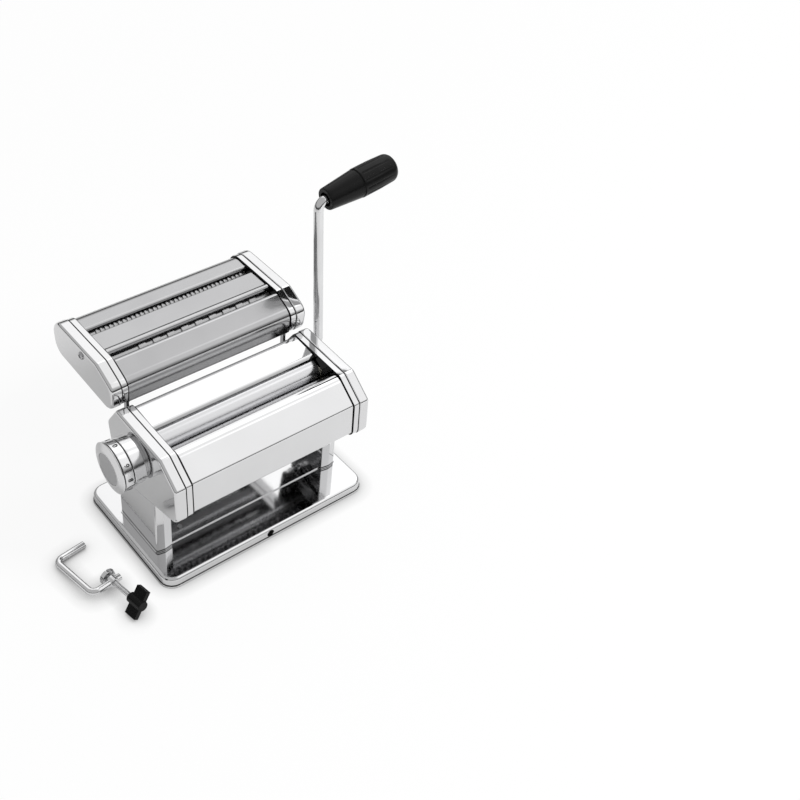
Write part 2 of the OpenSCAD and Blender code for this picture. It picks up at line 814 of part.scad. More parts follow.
// Coil spring: one tube swept along a helix
module dial_spring() {
    turns = 3.5;
    sides = 6;
    ring_count = 8 * turns;
    wire_r = spring_wire_d / 2;
    coil_r = dial_shaft_r + 2.2;
    length = dial_head_h - dial_web - spring_wire_d - 0.2;
    rings = [for (i = [0 : ring_count]) let (a = 360 * turns * i / ring_count, h = length * i / ring_count)
        for (k = [0 : sides - 1]) let (b = 360 * k / sides, r = coil_r + wire_r * cos(b))
            [r * cos(a), r * sin(a), h + wire_r * sin(b)]];
    tube = [for (i = [0 : ring_count - 1]) for (k = [0 : sides - 1])
        let (p = i * sides + k, q = i * sides + (k + 1) % sides)
            each [[p, p + sides, q], [q, p + sides, q + sides]]];
    last = ring_count * sides;
    caps = [for (k = [1 : sides - 2]) each [[0, k, k + 1], [last, last + k + 1, last + k]]];
    echo(least_gap_of_spring_turns = length / turns - spring_wire_d);
    color("silver") left() on_x(knob_x + dial_web + wire_r + 0.1, dial_y, dial_z)
        polyhedron(points = rings, faces = concat(tube, caps));
}

module dial_knob() {
    cap_h = knob_len - 2;
    face_r = knob_r - 7.2;
    color("gainsboro") left() on_x(knob_x, dial_y, dial_z) {
        difference() {
            rotate_extrude() polygon([
                [0, 0], [knob_r - 2.8, 0], [knob_r - 2.2, 0.6], [knob_r - 1.4, 10.2], [knob_r - 2.2, 10.5],
                [knob_r - 2.2, 11.1], [knob_r - 1.2, 11.4], [knob_r - 0.6, 18.6], [knob_r - 1.6, 18.9],
                [knob_r - 1.6, 19.5], [knob_r - 0.3, 19.7], [knob_r, 20], [knob_r - 0.2, 20.5],
                [face_r + 0.8, knob_len - 0.2], [face_r, knob_len], [0, knob_len]]);
            translate([0, 0, -1]) cylinder(h = knob_len, r = dial_shaft_r + run_fit);
            translate([0, 0, dial_web]) cylinder(h = knob_len, r = dial_bore_r);
            translate([0, 0, cap_h]) cylinder(h = 3, r = face_r - 1);
        }
        rotate([0, 0, 90]) translate([stop_pin_at, 0, -1.5]) cylinder(h = 2, r = stop_pin_r);
    }
}

module dial_cap() {
    face_r = knob_r - 7.2;
    color("darkgray") left() on_x(knob_x + knob_len - 2, dial_y, dial_z)
        cylinder(h = 1.7, r = face_r - 1 - run_fit);
}

// Cutter head

module cutter_plate() {
    difference() {
        union() {
            rimmed_plate(cutter_outline);
            block([plate_x - rail_t, rail_front - shoe_t - slip, rail_top - shoe_drop],
                [plate_x, rail_front - slip, rail_top + shoe_t]);
            block([plate_x - rail_t, rail_rear + slip, rail_top - shoe_drop],
                [plate_x, rail_rear + slip + shoe_t, rail_top + shoe_t]);
            block([plate_x - rail_t, rail_front - shoe_t - slip, rail_top],
                [plate_x, rail_rear + slip + shoe_t, rail_top + shoe_t]);
        }
        for (y = [fine_y, wide_y]) for (s = [-1, 1])
            rod_x(plate_x - 1, web_x + 1, y + s * cutter_half, cutter_z, cutter_bush_r + run_fit);
        rod_x(plate_x - 1, web_x + 1, cutter_screw_y, cutter_screw_z, screw_r + run_fit);
        for (p = cutter_tie_places) rod_x(plate_x - 1, web_x + 1, p[0], p[1], tie_tenon_r + run_fit);
    }
}

module left_cutter_plate() {
    color("silver") left() cutter_plate();
}

module right_cutter_plate() {
    color("silver") cutter_plate();
}

module cutter_cover() {
    difference() {
        cover_shell(cutter_outline);
        rod_x(face_x - 1, cover_x + 1, cutter_screw_y, cutter_screw_z, screw_r + slip);
    }
}

module left_cutter_cover() {
    color("silver") left() cutter_cover();
}

module right_cutter_cover() {
    color("silver") difference() {
        cutter_cover();
        for (y = [fine_y, wide_y])
            rod_x(face_x - 1, cover_x + 1, y - cutter_half, cutter_z, sleeve_r + slip);
    }
}

module cutter_screws() {
    color("gray") both_sides() {
        rod_x(plate_x, cover_x, cutter_screw_y, cutter_screw_z, screw_r);
        rod_x(cover_x, cover_x + 1.6, cutter_screw_y, cutter_screw_z, 3.4);
    }
}

module cutter_tie_rods() {
    color("gray") for (p = cutter_tie_places) {
        rod_x(-plate_x, plate_x, p[0], p[1], tie_bar_r - 1);
        rod_x(-web_x - 1, web_x + 1, p[0], p[1], tie_tenon_r);
    }
}

module cutter_bushes() {
    color("ivory") both_sides() for (y = [fine_y, wide_y]) for (s = [-1, 1])
        difference() {
            union() {
                rod_x(plate_x, web_x, y + s * cutter_half, cutter_z, cutter_bush_r);
                rod_x(web_x, web_x + bush_flange_t, y + s * cutter_half, cutter_z, cutter_bush_r + 1);
            }
            rod_x(plate_x - 1, web_x + 4, y + s * cutter_half, cutter_z, cutter_journal_r + run_fit);
        }
}

module rear_cutter_sheet() {
    top = cutter_outline[2][1] - plate_step - sheet_t;
    rear = cutter_outline[2][0] - plate_step - sheet_t;
    color("silver") throat_sheet([
        [fine_y + 4, cutter_z + cutter_r + 1.4],
        [fine_y + 5, top - 1.2, 1.5],
        [rear, top, 13],
        [rear - 2.4, cutter_z - 12]], sheet_t, seam);
}

module middle_cutter_sheet() {
    top = cutter_outline[2][1] - plate_step - sheet_t;
    color("silver") throat_sheet([
        [fine_y - 4, cutter_z + cutter_r + 1.4],
        [fine_y - 5, top - 1.2, 1.5],
        [wide_y + 9, top - 1.2, 3],
        [wide_y + 7, top - 0.2, 1.2],
        [wide_y + 5, top - 0.4, 1.2],
        [wide_y + 4, cutter_z + cutter_r + 1.4]], sheet_t, seam);
}

module front_cutter_sheet() {
    top = cutter_outline[3][1] - plate_step - sheet_t;
    front = cutter_outline[4][0] + plate_step + sheet_t;
    color("silver") throat_sheet([
        [wide_y - 4, cutter_z + cutter_r + 1.4],
        [wide_y - 5.2, top, 3],
        [front + 0.6, cutter_outline[4][1] - 0.6, 9],
        [front + 2.2, cutter_z - 16]], sheet_t, seam);
}

// Comb under one cutter shaft: a bar with a tooth in each groove of the shaft
module comb(y, facing, pitch, phase) {
    tooth = pitch / 2 - 0.7;
    count = floor((cutter_body_x - pitch) / pitch);
    along_x(-plate_x, plate_x)
        polygon([[y - facing * 6, cutter_z - 15], [y + facing * 2, cutter_z - 15],
            [y + facing * 2, cutter_z - 11], [y - facing * 6, cutter_z - 12]]);
    for (i = [-count : count - 1])
        block([(i + phase) * pitch - tooth / 2, y - 1.8, cutter_z - 12],
            [(i + phase) * pitch + tooth / 2, y + 1.8, cutter_z - groove_r - 0.4]);
}

module fine_combs() {
    color("dimgray") {
        comb(fine_y - cutter_half, 1, 2 * fine_strip, 0.5);
        comb(fine_y + cutter_half, -1, 2 * fine_strip, 1);
    }
}

module wide_combs() {
    color("dimgray") {
        comb(wide_y - cutter_half, 1, 2 * wide_strip, 0.5);
        comb(wide_y + cutter_half, -1, 2 * wide_strip, 1);
    }
}

// Cutter shaft: discs and grooves in turn, with a journal at each end
module cutter_shaft(y, strip_w, phase, end_x) {
    disc = strip_w - 0.1;
    pitch = 2 * strip_w;
    count = floor((cutter_body_x - pitch) / pitch);
    discs = [for (i = [-count : count]) let (c = (i + phase) * pitch)
        each [[groove_r, c - disc / 2], [cutter_r, c - disc / 2],
            [cutter_r, c + disc / 2], [groove_r, c + disc / 2]]];
    color("gainsboro") on_x(0, y, cutter_z) rotate_extrude() polygon(concat(
        [[0, -web_x - bush_flange_t], [cutter_journal_r, -web_x - bush_flange_t],
            [cutter_journal_r, -plate_x + 1], [groove_r, -plate_x + 1]],
        discs,
        [[groove_r, plate_x - 1], [cutter_journal_r, plate_x - 1], [cutter_journal_r, end_x], [0, end_x]]));
}

module fine_front_cutter() {
    cutter_shaft(fine_y - cutter_half, fine_strip, 0, cutter_gear_x + 1.5);
}

module fine_rear_cutter() {
    cutter_shaft(fine_y + cutter_half, fine_strip, 0.5, cutter_gear_x + cutter_gear_w);
}

module wide_front_cutter() {
    cutter_shaft(wide_y - cutter_half, wide_strip, 0, cutter_gear_x + 1.5);
}

module wide_rear_cutter() {
    cutter_shaft(wide_y + cutter_half, wide_strip, 0.5, cutter_gear_x + cutter_gear_w);
}

// Driving gear of a cutter pair, whose hub is a crank socket
module socket_gear(y) {
    color("dimgray") difference() {
        union() {
            on_x(cutter_gear_x, y, cutter_z) linear_extrude(cutter_gear_w)
                polygon(gear(cutter_teeth, cutter_m, 0));
            rod_x(cutter_gear_x + cutter_gear_w - skin, socket_x, y, cutter_z, sleeve_r);
        }
        rod_x(cutter_gear_x - 1, cutter_gear_x + 2, y, cutter_z, cutter_journal_r + run_fit);
        crank_socket(y, cutter_z, socket_bottom_x);
    }
}

// Driven gear of a cutter pair
module driven_gear(y) {
    color("dimgray") on_x(cutter_gear_x, y, cutter_z) linear_extrude(cutter_gear_w) difference() {
        polygon(gear(cutter_teeth, cutter_m, 180 / cutter_teeth));
        circle(r = cutter_journal_r + run_fit);
    }
}

module fine_drive_gear() {
    socket_gear(fine_y - cutter_half);
}

module fine_driven_gear() {
    driven_gear(fine_y + cutter_half);
}

module wide_drive_gear() {
    socket_gear(wide_y - cutter_half);
}

module wide_driven_gear() {
    driven_gear(wide_y + cutter_half);
}

// Clamp

// Local X runs along the arms and local Y along the screw
module in_clamp() {
    translate([clamp_x, clamp_y, clamp_rod_r]) rotate([-clamp_tilt, 0, clamp_skew]) children();
}

module rod_y(y0, y1, x, r) {
    translate([x, y0, 0]) rotate([-90, 0, 0]) cylinder(h = y1 - y0, r = r);
}

module clamp_frame() {
    color("gainsboro") in_clamp() difference() {
        union() {
            rod_x(clamp_bend_r, clamp_arm, 0, 0, clamp_rod_r);
            translate([clamp_bend_r, -clamp_bend_r, 0]) rotate([0, 0, 90])
                rotate_extrude(angle = 90) translate([clamp_bend_r, 0]) circle(r = clamp_rod_r);
            rod_y(-clamp_span + clamp_bend_r, -clamp_bend_r, 0, clamp_rod_r);
            translate([clamp_bend_r, clamp_bend_r - clamp_span, 0]) rotate([0, 0, 180])
                rotate_extrude(angle = 90) translate([clamp_bend_r, 0]) circle(r = clamp_rod_r);
            rod_x(clamp_bend_r, clamp_reach + clamp_tail, -clamp_span, 0, clamp_rod_r);
            rod_y(-clamp_span - clamp_rod_r, -clamp_span + clamp_rod_r, clamp_reach, clamp_eye_r);
        }
        rod_y(-clamp_span - clamp_eye_r, -clamp_span + clamp_eye_r, clamp_reach, clamp_screw_r + socket_fit);
    }
}

module clamp_pad() {
    color("gainsboro") in_clamp() difference() {
        translate([clamp_reach, pad_y - clamp_span, 0]) rotate([-90, 0, 0])
            cylinder(h = pad_t, r1 = clamp_pad_d / 2 - 1, r2 = clamp_pad_d / 2);
        rod_y(pad_y - clamp_span - 1, pad_y - clamp_span + 2.2, clamp_reach, clamp_screw_r - 1 + run_fit);
    }
}

module clamp_screw() {
    color("gainsboro") in_clamp() {
        rod_y(wing_y - clamp_span - 8, pad_y - clamp_span - 0.2, clamp_reach, clamp_screw_r);
        rod_y(pad_y - clamp_span - 0.3, pad_y - clamp_span + 2, clamp_reach, clamp_screw_r - 1);
    }
}

module clamp_wing() {
    half = wing_w / 2;
    color([0.08, 0.08, 0.08]) in_clamp() translate([clamp_reach, wing_y - clamp_span, 0]) difference() {
        union() {
            rod_y(-wing_hub_len, 0, 0, wing_hub_r);
            rotate([0, -wing_turn, 0])
                block([-half, -wing_hub_len + 1, -wing_t / 2], [half, -2.5, wing_t / 2]);
        }
        rod_y(-8.3, 1, 0, clamp_screw_r + run_fit);
    }
}

base_plate();
clamp_socket();
body_floor();
base_screws();
left_cheek();
right_cheek();
left_side_plate();
right_side_plate();
left_cover();
right_cover();
frame_studs();
tie_bars();
front_hood();
rear_deck();
front_scraper();
rear_scraper();
dock_rails();
roller_bushes();
drive_bush();
front_roller();
front_gear();
rear_roller();
rear_gear();
left_slide_block();
right_slide_block();
drive_pinion();
crank_rod();
crank_grip();
index_ring();
dial_shaft();
dial_spring();
dial_knob();
dial_cap();
left_cutter_plate();
right_cutter_plate();
left_cutter_cover();
right_cutter_cover();
cutter_screws();
cutter_tie_rods();
cutter_bushes();
rear_cutter_sheet();
middle_cutter_sheet();
front_cutter_sheet();
fine_combs();
wide_combs();
fine_front_cutter();
fine_rear_cutter();
wide_front_cutter();
wide_rear_cutter();
fine_drive_gear();
fine_driven_gear();
wide_drive_gear();
wide_driven_gear();
clamp_frame();
clamp_pad();
clamp_screw();
clamp_wing();
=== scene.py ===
"""Looks of a hand-cranked pasta machine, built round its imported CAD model."""

import json
import math

import bmesh
import bpy
from bpy.props import FloatProperty, FloatVectorProperty, PointerProperty
from mathutils import Matrix, Vector
from mathutils.bvhtree import BVHTree

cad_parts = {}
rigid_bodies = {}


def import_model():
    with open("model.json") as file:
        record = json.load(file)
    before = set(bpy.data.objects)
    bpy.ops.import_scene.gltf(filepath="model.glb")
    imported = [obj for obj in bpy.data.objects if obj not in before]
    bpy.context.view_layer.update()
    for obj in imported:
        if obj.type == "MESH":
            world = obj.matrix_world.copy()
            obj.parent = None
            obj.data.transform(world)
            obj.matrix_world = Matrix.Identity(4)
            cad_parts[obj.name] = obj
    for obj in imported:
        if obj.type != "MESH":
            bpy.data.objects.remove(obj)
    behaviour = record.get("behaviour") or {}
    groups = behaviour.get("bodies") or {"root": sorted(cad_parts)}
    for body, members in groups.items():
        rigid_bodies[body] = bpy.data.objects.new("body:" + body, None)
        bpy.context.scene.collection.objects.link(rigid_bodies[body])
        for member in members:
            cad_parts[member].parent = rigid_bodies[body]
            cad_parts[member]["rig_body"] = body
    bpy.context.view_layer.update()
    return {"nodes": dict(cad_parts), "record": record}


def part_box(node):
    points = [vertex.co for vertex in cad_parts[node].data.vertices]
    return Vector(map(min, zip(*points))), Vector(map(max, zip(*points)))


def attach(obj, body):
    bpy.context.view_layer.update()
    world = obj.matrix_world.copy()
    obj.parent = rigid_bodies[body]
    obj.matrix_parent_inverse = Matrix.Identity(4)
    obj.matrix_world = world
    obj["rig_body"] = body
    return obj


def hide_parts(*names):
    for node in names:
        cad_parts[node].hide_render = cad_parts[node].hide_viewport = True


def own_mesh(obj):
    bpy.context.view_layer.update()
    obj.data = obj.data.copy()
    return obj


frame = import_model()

bl_info = {
    "name": "Pasta machine",
    "version": (1, 0, 0),
    "blender": (4, 5, 0),
    "location": "View3D > Sidebar > Pasta machine",
    "description": "Dresses the CAD model of a hand-cranked pasta machine",
    "category": "Object",
}

SLOT_OF = {part["node"]: part["material_slot"] for part in frame["record"]["subparts"]}
JOINTS = {joint["name"]: joint for joint in frame["record"]["behaviour"]["joints"]}
MM = 0.001

# Seams on both sides, out from the middle: cover to side plate, and side plate to the sheets,
# where the metal takes a dark line of painted shade
SIDE_SEAMS = (-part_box("left_cover")[1].x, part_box("front_hood")[1].x)
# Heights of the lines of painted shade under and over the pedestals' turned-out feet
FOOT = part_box("left_cheek")[0].z
FOOT_SEAMS = (FOOT - 0.2 * MM, FOOT + 1.9 * MM)
# Heights of the lines of painted shade under and over the base's rim
RIM_SEAMS = (0.0, 2.2 * MM)
# Half widths, fade and colour of the painted shade in these seams
SEAM_HALF = 0.3 * MM
FOOT_SEAM_HALF = 0.55 * MM
SEAM_FADE = 0.3 * MM
PAINTED_SEAM_SHADE = (0.015, 0.015, 0.015, 1.0)


# Shader and geometry trees


class Wire:
    """An output of a node. Sums and products of wires add Math nodes."""

    def __init__(self, recipe, socket):
        self.recipe = recipe
        self.socket = socket

    def math(self, operation, first, second):
        settings = {"operation": operation}
        return self.recipe.node("ShaderNodeMath", settings, {0: first, 1: second})["Value"]

    def __add__(self, other):
        return self.math("ADD", self, other)

    def __radd__(self, other):
        return self.math("ADD", other, self)

    def __sub__(self, other):
        return self.math("SUBTRACT", self, other)

    def __rsub__(self, other):
        return self.math("SUBTRACT", other, self)

    def __mul__(self, other):
        return self.math("MULTIPLY", self, other)

    def __rmul__(self, other):
        return self.math("MULTIPLY", other, self)

    def __truediv__(self, other):
        return self.math("DIVIDE", self, other)

    def __rtruediv__(self, other):
        return self.math("DIVIDE", other, self)


class Outputs:
    """The outputs of a node, taken by name or number as wires."""

    def __init__(self, recipe, node):
        self.recipe = recipe
        self.node = node

    def __getitem__(self, key):
        return Wire(self.recipe, self.node.outputs[key])


class Recipe:
    """Adds nodes to one tree."""

    def __init__(self, tree):
        self.tree = tree
        tree.nodes.clear()

    def node(self, kind, settings=None, inputs=None):
        """Adds a node with its settings, and fills its inputs with wires or plain values."""
        made = self.tree.nodes.new(kind)
        for key, value in (settings or {}).items():
            setattr(made, key, value)
        for key, value in (inputs or {}).items():
            if isinstance(value, (Wire, list)):
                for wire in value if isinstance(value, list) else [value]:
                    self.tree.links.new(wire.socket, made.inputs[key])
            else:
                made.inputs[key].default_value = value
        return Outputs(self, made)

    def place(self, scale=(1.0, 1.0, 1.0), shift=(0.0, 0.0, 0.0)):
        """Object coordinates, stretched and moved."""
        own = self.node("ShaderNodeTexCoord")["Object"]
        inputs = {"Vector": own, "Location": shift, "Scale": scale}
        return self.node("ShaderNodeMapping", {"vector_type": "POINT"}, inputs)["Vector"]

    def noise(self, vector, scale, detail):
        inputs = {"Vector": vector, "Scale": scale, "Detail": detail}
        return self.node("ShaderNodeTexNoise", None, inputs)["Fac"]

    def blend(self, share, first, second):
        """Colour mixed by a share from 0 to 1, through the Mix node's sockets for colours."""
        inputs = {0: share, 6: first, 7: second}
        return self.node("ShaderNodeMix", {"data_type": "RGBA"}, inputs)[2]

    def tint(self, mask, colour, dark, light):
        """A colour that a mask takes from a darker to a lighter shade."""
        return self.blend(mask, shade(colour, dark), shade(colour, light))

    def soft_step(self, value, start, end, top=1.0):
        """Rises smoothly from 0 at start to top at end."""
        settings = {"interpolation_type": "SMOOTHSTEP"}
        inputs = {"Value": value, "From Min": start, "From Max": end, "To Min": 0.0, "To Max": top}
        return self.node("ShaderNodeMapRange", settings, inputs)["Result"]

    def parts_of(self, vector):
        return self.node("ShaderNodeSeparateXYZ", None, {"Vector": vector})

    def length_of(self, vector):
        return self.node("ShaderNodeVectorMath", {"operation": "LENGTH"}, {0: vector})["Value"]

    def size_of(self, value):
        return self.node("ShaderNodeMath", {"operation": "ABSOLUTE"}, {0: value})["Value"]

    def seam_shade(self, axis, seams, half=SEAM_HALF):
        """How far a point lies in one of two seams along an axis, from 0 to 1: the share of
        painted shade there.
        """
        out = self.size_of(self.parts_of(self.place())[axis])
        edge = half + SEAM_FADE
        one, two = (1.0 - self.soft_step(self.size_of(out - seam), half, edge) for seam in seams)
        return one + two

    def bump(self, height, strength, distance):
        inputs = {"Height": height, "Strength": strength, "Distance": distance}
        return self.node("ShaderNodeBump", None, inputs)["Normal"]

    def surface(self, inputs):
        shader = self.node("ShaderNodeBsdfPrincipled", None, inputs)["BSDF"]
        self.node("ShaderNodeOutputMaterial", None, {"Surface": shader})

    def metal(self, colour, roughness, normal):
        self.surface({"Base Color": colour, "Metallic": 1.0, "Roughness": roughness,
                      "Normal": normal})


def shade(colour, factor):
    """A colour made darker or lighter, with alpha."""
    return (*(min(1.0, channel * factor) for channel in colour), 1.0)


class Bench(Recipe):
    """Builds one geometry tree with named sizes."""

    def __init__(self, name, sizes):
        super().__init__(bpy.data.node_groups.new(name, "GeometryNodeTree"))
        face = self.tree.interface
        face.new_socket("Geometry", in_out="INPUT", socket_type="NodeSocketGeometry")
        face.new_socket("Geometry", in_out="OUTPUT", socket_type="NodeSocketGeometry")
        self.keys = {}
        for size in sizes:
            made = face.new_socket(size, in_out="INPUT", socket_type="NodeSocketFloat")
            self.keys[size] = made.identifier
        self.size = self.node("NodeGroupInput")

    def close(self, geometry, material):
        """Ends the tree with real geometry that carries a material."""
        real = self.node("GeometryNodeRealizeInstances", None, {"Geometry": geometry})["Geometry"]
        inputs = {"Geometry": real, "Material": material}
        painted = self.node("GeometryNodeSetMaterial", None, inputs)["Geometry"]
        self.node("NodeGroupOutput", None, {"Geometry": painted})

    def vector(self, x=0.0, y=0.0, z=0.0):
        return self.node("ShaderNodeCombineXYZ", None, {"X": x, "Y": y, "Z": z})["Vector"]

    def moved(self, geometry, shift):
        inputs = {"Geometry": geometry, "Translation": shift}
        return self.node("GeometryNodeTransform", None, inputs)["Geometry"]

    def raised(self, geometry, height):
        return self.moved(geometry, self.vector(z=height))

    def joined(self, *pieces):
        return self.node("GeometryNodeJoinGeometry", None, {"Geometry": list(pieces)})["Geometry"]

    def smooth(self, geometry):
        inputs = {"Geometry": geometry, "Shade Smooth": True}
        return self.node("GeometryNodeSetShadeSmooth", None, inputs)["Geometry"]

    def cylinder(self, radius, depth, sides):
        inputs = {"Vertices": sides, "Radius": radius, "Depth": depth}
        return self.node("GeometryNodeMeshCylinder", None, inputs)["Mesh"]

    def cone(self, radius_low, radius_high, depth, sides):
        inputs = {"Vertices": sides, "Depth": depth,
                  "Radius Bottom": radius_low, "Radius Top": radius_high}
        return self.node("GeometryNodeMeshCone", None, inputs)["Mesh"]

    def box(self, x, y, z):
        return self.node("GeometryNodeMeshCube", None, {"Size": self.vector(x, y, z)})["Mesh"]

    def boolean(self, operation, inputs):
        settings = {"operation": operation, "solver": "EXACT"}
        return self.node("GeometryNodeMeshBoolean", settings, inputs)["Mesh"]

    def united(self, *pieces):
        return self.boolean("UNION", {"Mesh 2": list(pieces)})

    def without(self, geometry, *tools):
        return self.boolean("DIFFERENCE", {"Mesh 1": geometry, "Mesh 2": list(tools)})

    def helix(self, turns, radius, height, wire, sides, steps):
        """A round or edged wire wound about the Z axis, with steps for each turn."""
        path = self.node("GeometryNodeCurveSpiral", None, {
            "Resolution": steps, "Rotations": turns, "Height": height,
            "Start Radius": radius, "End Radius": radius})["Curve"]
        section = self.node("GeometryNodeCurvePrimitiveCircle", None, {
            "Resolution": sides, "Radius": wire})["Curve"]
        inputs = {"Curve": path, "Profile Curve": section, "Fill Caps": True}
        return self.node("GeometryNodeCurveToMesh", None, inputs)["Mesh"]


# Finishes, one for each material slot of the record and five more


def polished_sheet(recipe, colours, seam=0.0):
    own = recipe.place()
    smudge = recipe.noise(own, scale=24.0, detail=3.0)
    waves = recipe.noise(own, scale=14.0, detail=1.0)
    colour_before_painted_shade = recipe.tint(smudge, colours.polished, dark=0.94, light=1.04)
    # The seam share darkens the metal's colour: painted shade in the seams
    recipe.metal(
        colour=recipe.blend(seam, colour_before_painted_shade, PAINTED_SEAM_SHADE),
        roughness=0.04 + 0.06 * smudge,
        normal=recipe.bump(waves, strength=0.05, distance=2.0 * MM))


# Polished chrome with painted shade in the seams beside the side plates
def seamed_chrome(recipe, colours):
    polished_sheet(recipe, colours, recipe.seam_shade("X", SIDE_SEAMS))


# Polished chrome with painted shade under and over the pedestals' feet
def footed_chrome(recipe, colours):
    polished_sheet(recipe, colours, recipe.seam_shade("Z", FOOT_SEAMS, FOOT_SEAM_HALF))


# Polished chrome with painted shade under and over the base's rim
def rimmed_chrome(recipe, colours):
    polished_sheet(recipe, colours, recipe.seam_shade("Z", RIM_SEAMS))


def drawn_sheet(recipe, colours):
    lines = recipe.noise(recipe.place(scale=(0.015, 1.0, 1.0)), scale=1800.0, detail=2.0)
    haze = recipe.noise(recipe.place(), scale=30.0, detail=3.0)
    colour_before_painted_shade = recipe.tint(haze, colours.drawn, dark=0.92, light=1.08)
    # The seam share darkens the sheets' colour: painted shade beside the side plates
    recipe.metal(
        colour=recipe.blend(recipe.seam_shade("X", SIDE_SEAMS), colour_before_painted_shade, PAINTED_SEAM_SHADE),
        roughness=0.1 + 0.08 * haze + 0.04 * lines,
        normal=recipe.bump(lines, strength=0.03, distance=0.2 * MM))


def satin_sheet(recipe, colours):
    strokes = recipe.noise(recipe.place(scale=(1.0, 0.02, 1.0)), scale=2600.0, detail=2.0)
    haze = recipe.noise(recipe.place(), scale=40.0, detail=3.0)
    recipe.metal(
        colour=recipe.tint(strokes, colours.satin, dark=0.9, light=1.06),
        roughness=0.16 + 0.1 * haze + 0.08 * strokes,
        normal=recipe.bump(strokes, strength=0.05, distance=0.2 * MM))


def turned_roller(recipe, colours):
    rings = recipe.noise(recipe.place(scale=(1.0, 0.0, 0.0)), scale=3500.0, detail=3.0)
    haze = recipe.noise(recipe.place(), scale=30.0, detail=2.0)
    recipe.metal(
        colour=recipe.tint(rings, colours.roller, dark=0.9, light=1.05),
        roughness=0.1 + 0.08 * haze + 0.06 * rings,
        normal=recipe.bump(rings, strength=0.06, distance=0.2 * MM))


def drawn_rod(recipe, colours):
    haze = recipe.noise(recipe.place(), scale=60.0, detail=3.0)
    pits = recipe.noise(recipe.place(), scale=900.0, detail=2.0)
    recipe.metal(
        colour=recipe.tint(haze, colours.polished, dark=0.92, light=1.08),
        roughness=0.08 + 0.08 * haze,
        normal=recipe.bump(pits, strength=0.04, distance=0.2 * MM))


def turned_cutter(recipe, colours):
    rings = recipe.noise(recipe.place(scale=(1.0, 0.15, 0.15)), scale=2200.0, detail=2.0)
    recipe.metal(
        colour=recipe.tint(rings, colours.satin, dark=0.7, light=1.0),
        roughness=0.2 + 0.12 * rings,
        normal=recipe.bump(rings, strength=0.05, distance=0.2 * MM))


def machined_gear(recipe, colours):
    marks = recipe.noise(recipe.place(scale=(1.0, 1.0, 0.2)), scale=1400.0, detail=3.0)
    oil = recipe.noise(recipe.place(), scale=70.0, detail=3.0)
    recipe.metal(
        colour=recipe.tint(oil, colours.gear, dark=0.65, light=1.15),
        roughness=0.26 + 0.14 * marks,
        normal=recipe.bump(marks, strength=0.08, distance=0.3 * MM))


def plated_fastener(recipe, colours):
    grain = recipe.noise(recipe.place(), scale=1600.0, detail=2.0)
    cloud = recipe.noise(recipe.place(), scale=130.0, detail=3.0)
    recipe.metal(
        colour=recipe.tint(cloud, colours.plated, dark=0.8, light=1.1),
        roughness=0.2 + 0.15 * cloud,
        normal=recipe.bump(grain, strength=0.05, distance=0.2 * MM))


def knob_plating(recipe, colours):
    haze = recipe.noise(recipe.place(), scale=50.0, detail=3.0)
    rings = recipe.noise(recipe.place(scale=(1.0, 0.05, 0.05)), scale=2400.0, detail=2.0)
    recipe.metal(
        colour=recipe.tint(haze, colours.polished, dark=0.92, light=1.08),
        roughness=0.1 + 0.08 * haze + 0.05 * rings,
        normal=recipe.bump(rings, strength=0.04, distance=0.2 * MM))


def knob_disc(recipe, colours):
    low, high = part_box("dial_cap")
    centre = (low + high) / 2
    across = recipe.place(scale=(0.0, 1.0, 1.0), shift=(0.0, -centre.y, -centre.z))
    away = recipe.node("ShaderNodeCombineXYZ", None, {"X": recipe.length_of(across)})["Vector"]
    rings = recipe.noise(away, scale=3000.0, detail=3.0)
    haze = recipe.noise(recipe.place(), scale=70.0, detail=2.0)
    recipe.metal(
        colour=recipe.tint(rings, colours.satin, dark=0.82, light=1.0),
        roughness=0.24 + 0.1 * rings + 0.06 * haze,
        normal=recipe.bump(rings, strength=0.08, distance=0.2 * MM))


def bearing_plastic(recipe, colours):
    grain = recipe.noise(recipe.place(), scale=2200.0, detail=2.0)
    cloud = recipe.noise(recipe.place(), scale=90.0, detail=2.0)
    recipe.surface({
        "Base Color": recipe.tint(cloud, colours.bearing, dark=0.92, light=1.04),
        "Roughness": 0.42 + 0.15 * grain,
        "Normal": recipe.bump(grain, strength=0.1, distance=0.2 * MM),
    })


def scraper_plastic(recipe, colours):
    grain = recipe.noise(recipe.place(), scale=2600.0, detail=2.0)
    cloud = recipe.noise(recipe.place(), scale=80.0, detail=2.0)
    recipe.surface({
        "Base Color": recipe.tint(cloud, colours.scraper, dark=0.85, light=1.15),
        "Roughness": 0.4 + 0.2 * grain,
        "Normal": recipe.bump(grain, strength=0.12, distance=0.2 * MM),
    })


def black_plastic(recipe, colours):
    grain = recipe.noise(recipe.place(), scale=1800.0, detail=3.0)
    cloud = recipe.noise(recipe.place(), scale=60.0, detail=2.0)
    recipe.surface({
        "Base Color": recipe.tint(cloud, colours.black, dark=0.8, light=1.3),
        "Roughness": 0.22 + 0.12 * grain,
        "Specular IOR Level": 0.14,
        "Normal": recipe.bump(grain, strength=0.15, distance=0.2 * MM),
    })


# Black ink of the numbers with lighter worn spots; the rings on the knob take it too, as painted
# groove shade
def dial_ink(recipe, colours):
    wear = recipe.noise(recipe.place(), scale=1500.0, detail=3.0)
    recipe.surface({
        "Base Color": recipe.tint(wear, colours.black, dark=1.0, light=6.0),
        "Roughness": 0.4 + 0.2 * wear,
        "Normal": recipe.bump(wear, strength=0.1, distance=0.1 * MM),
    })


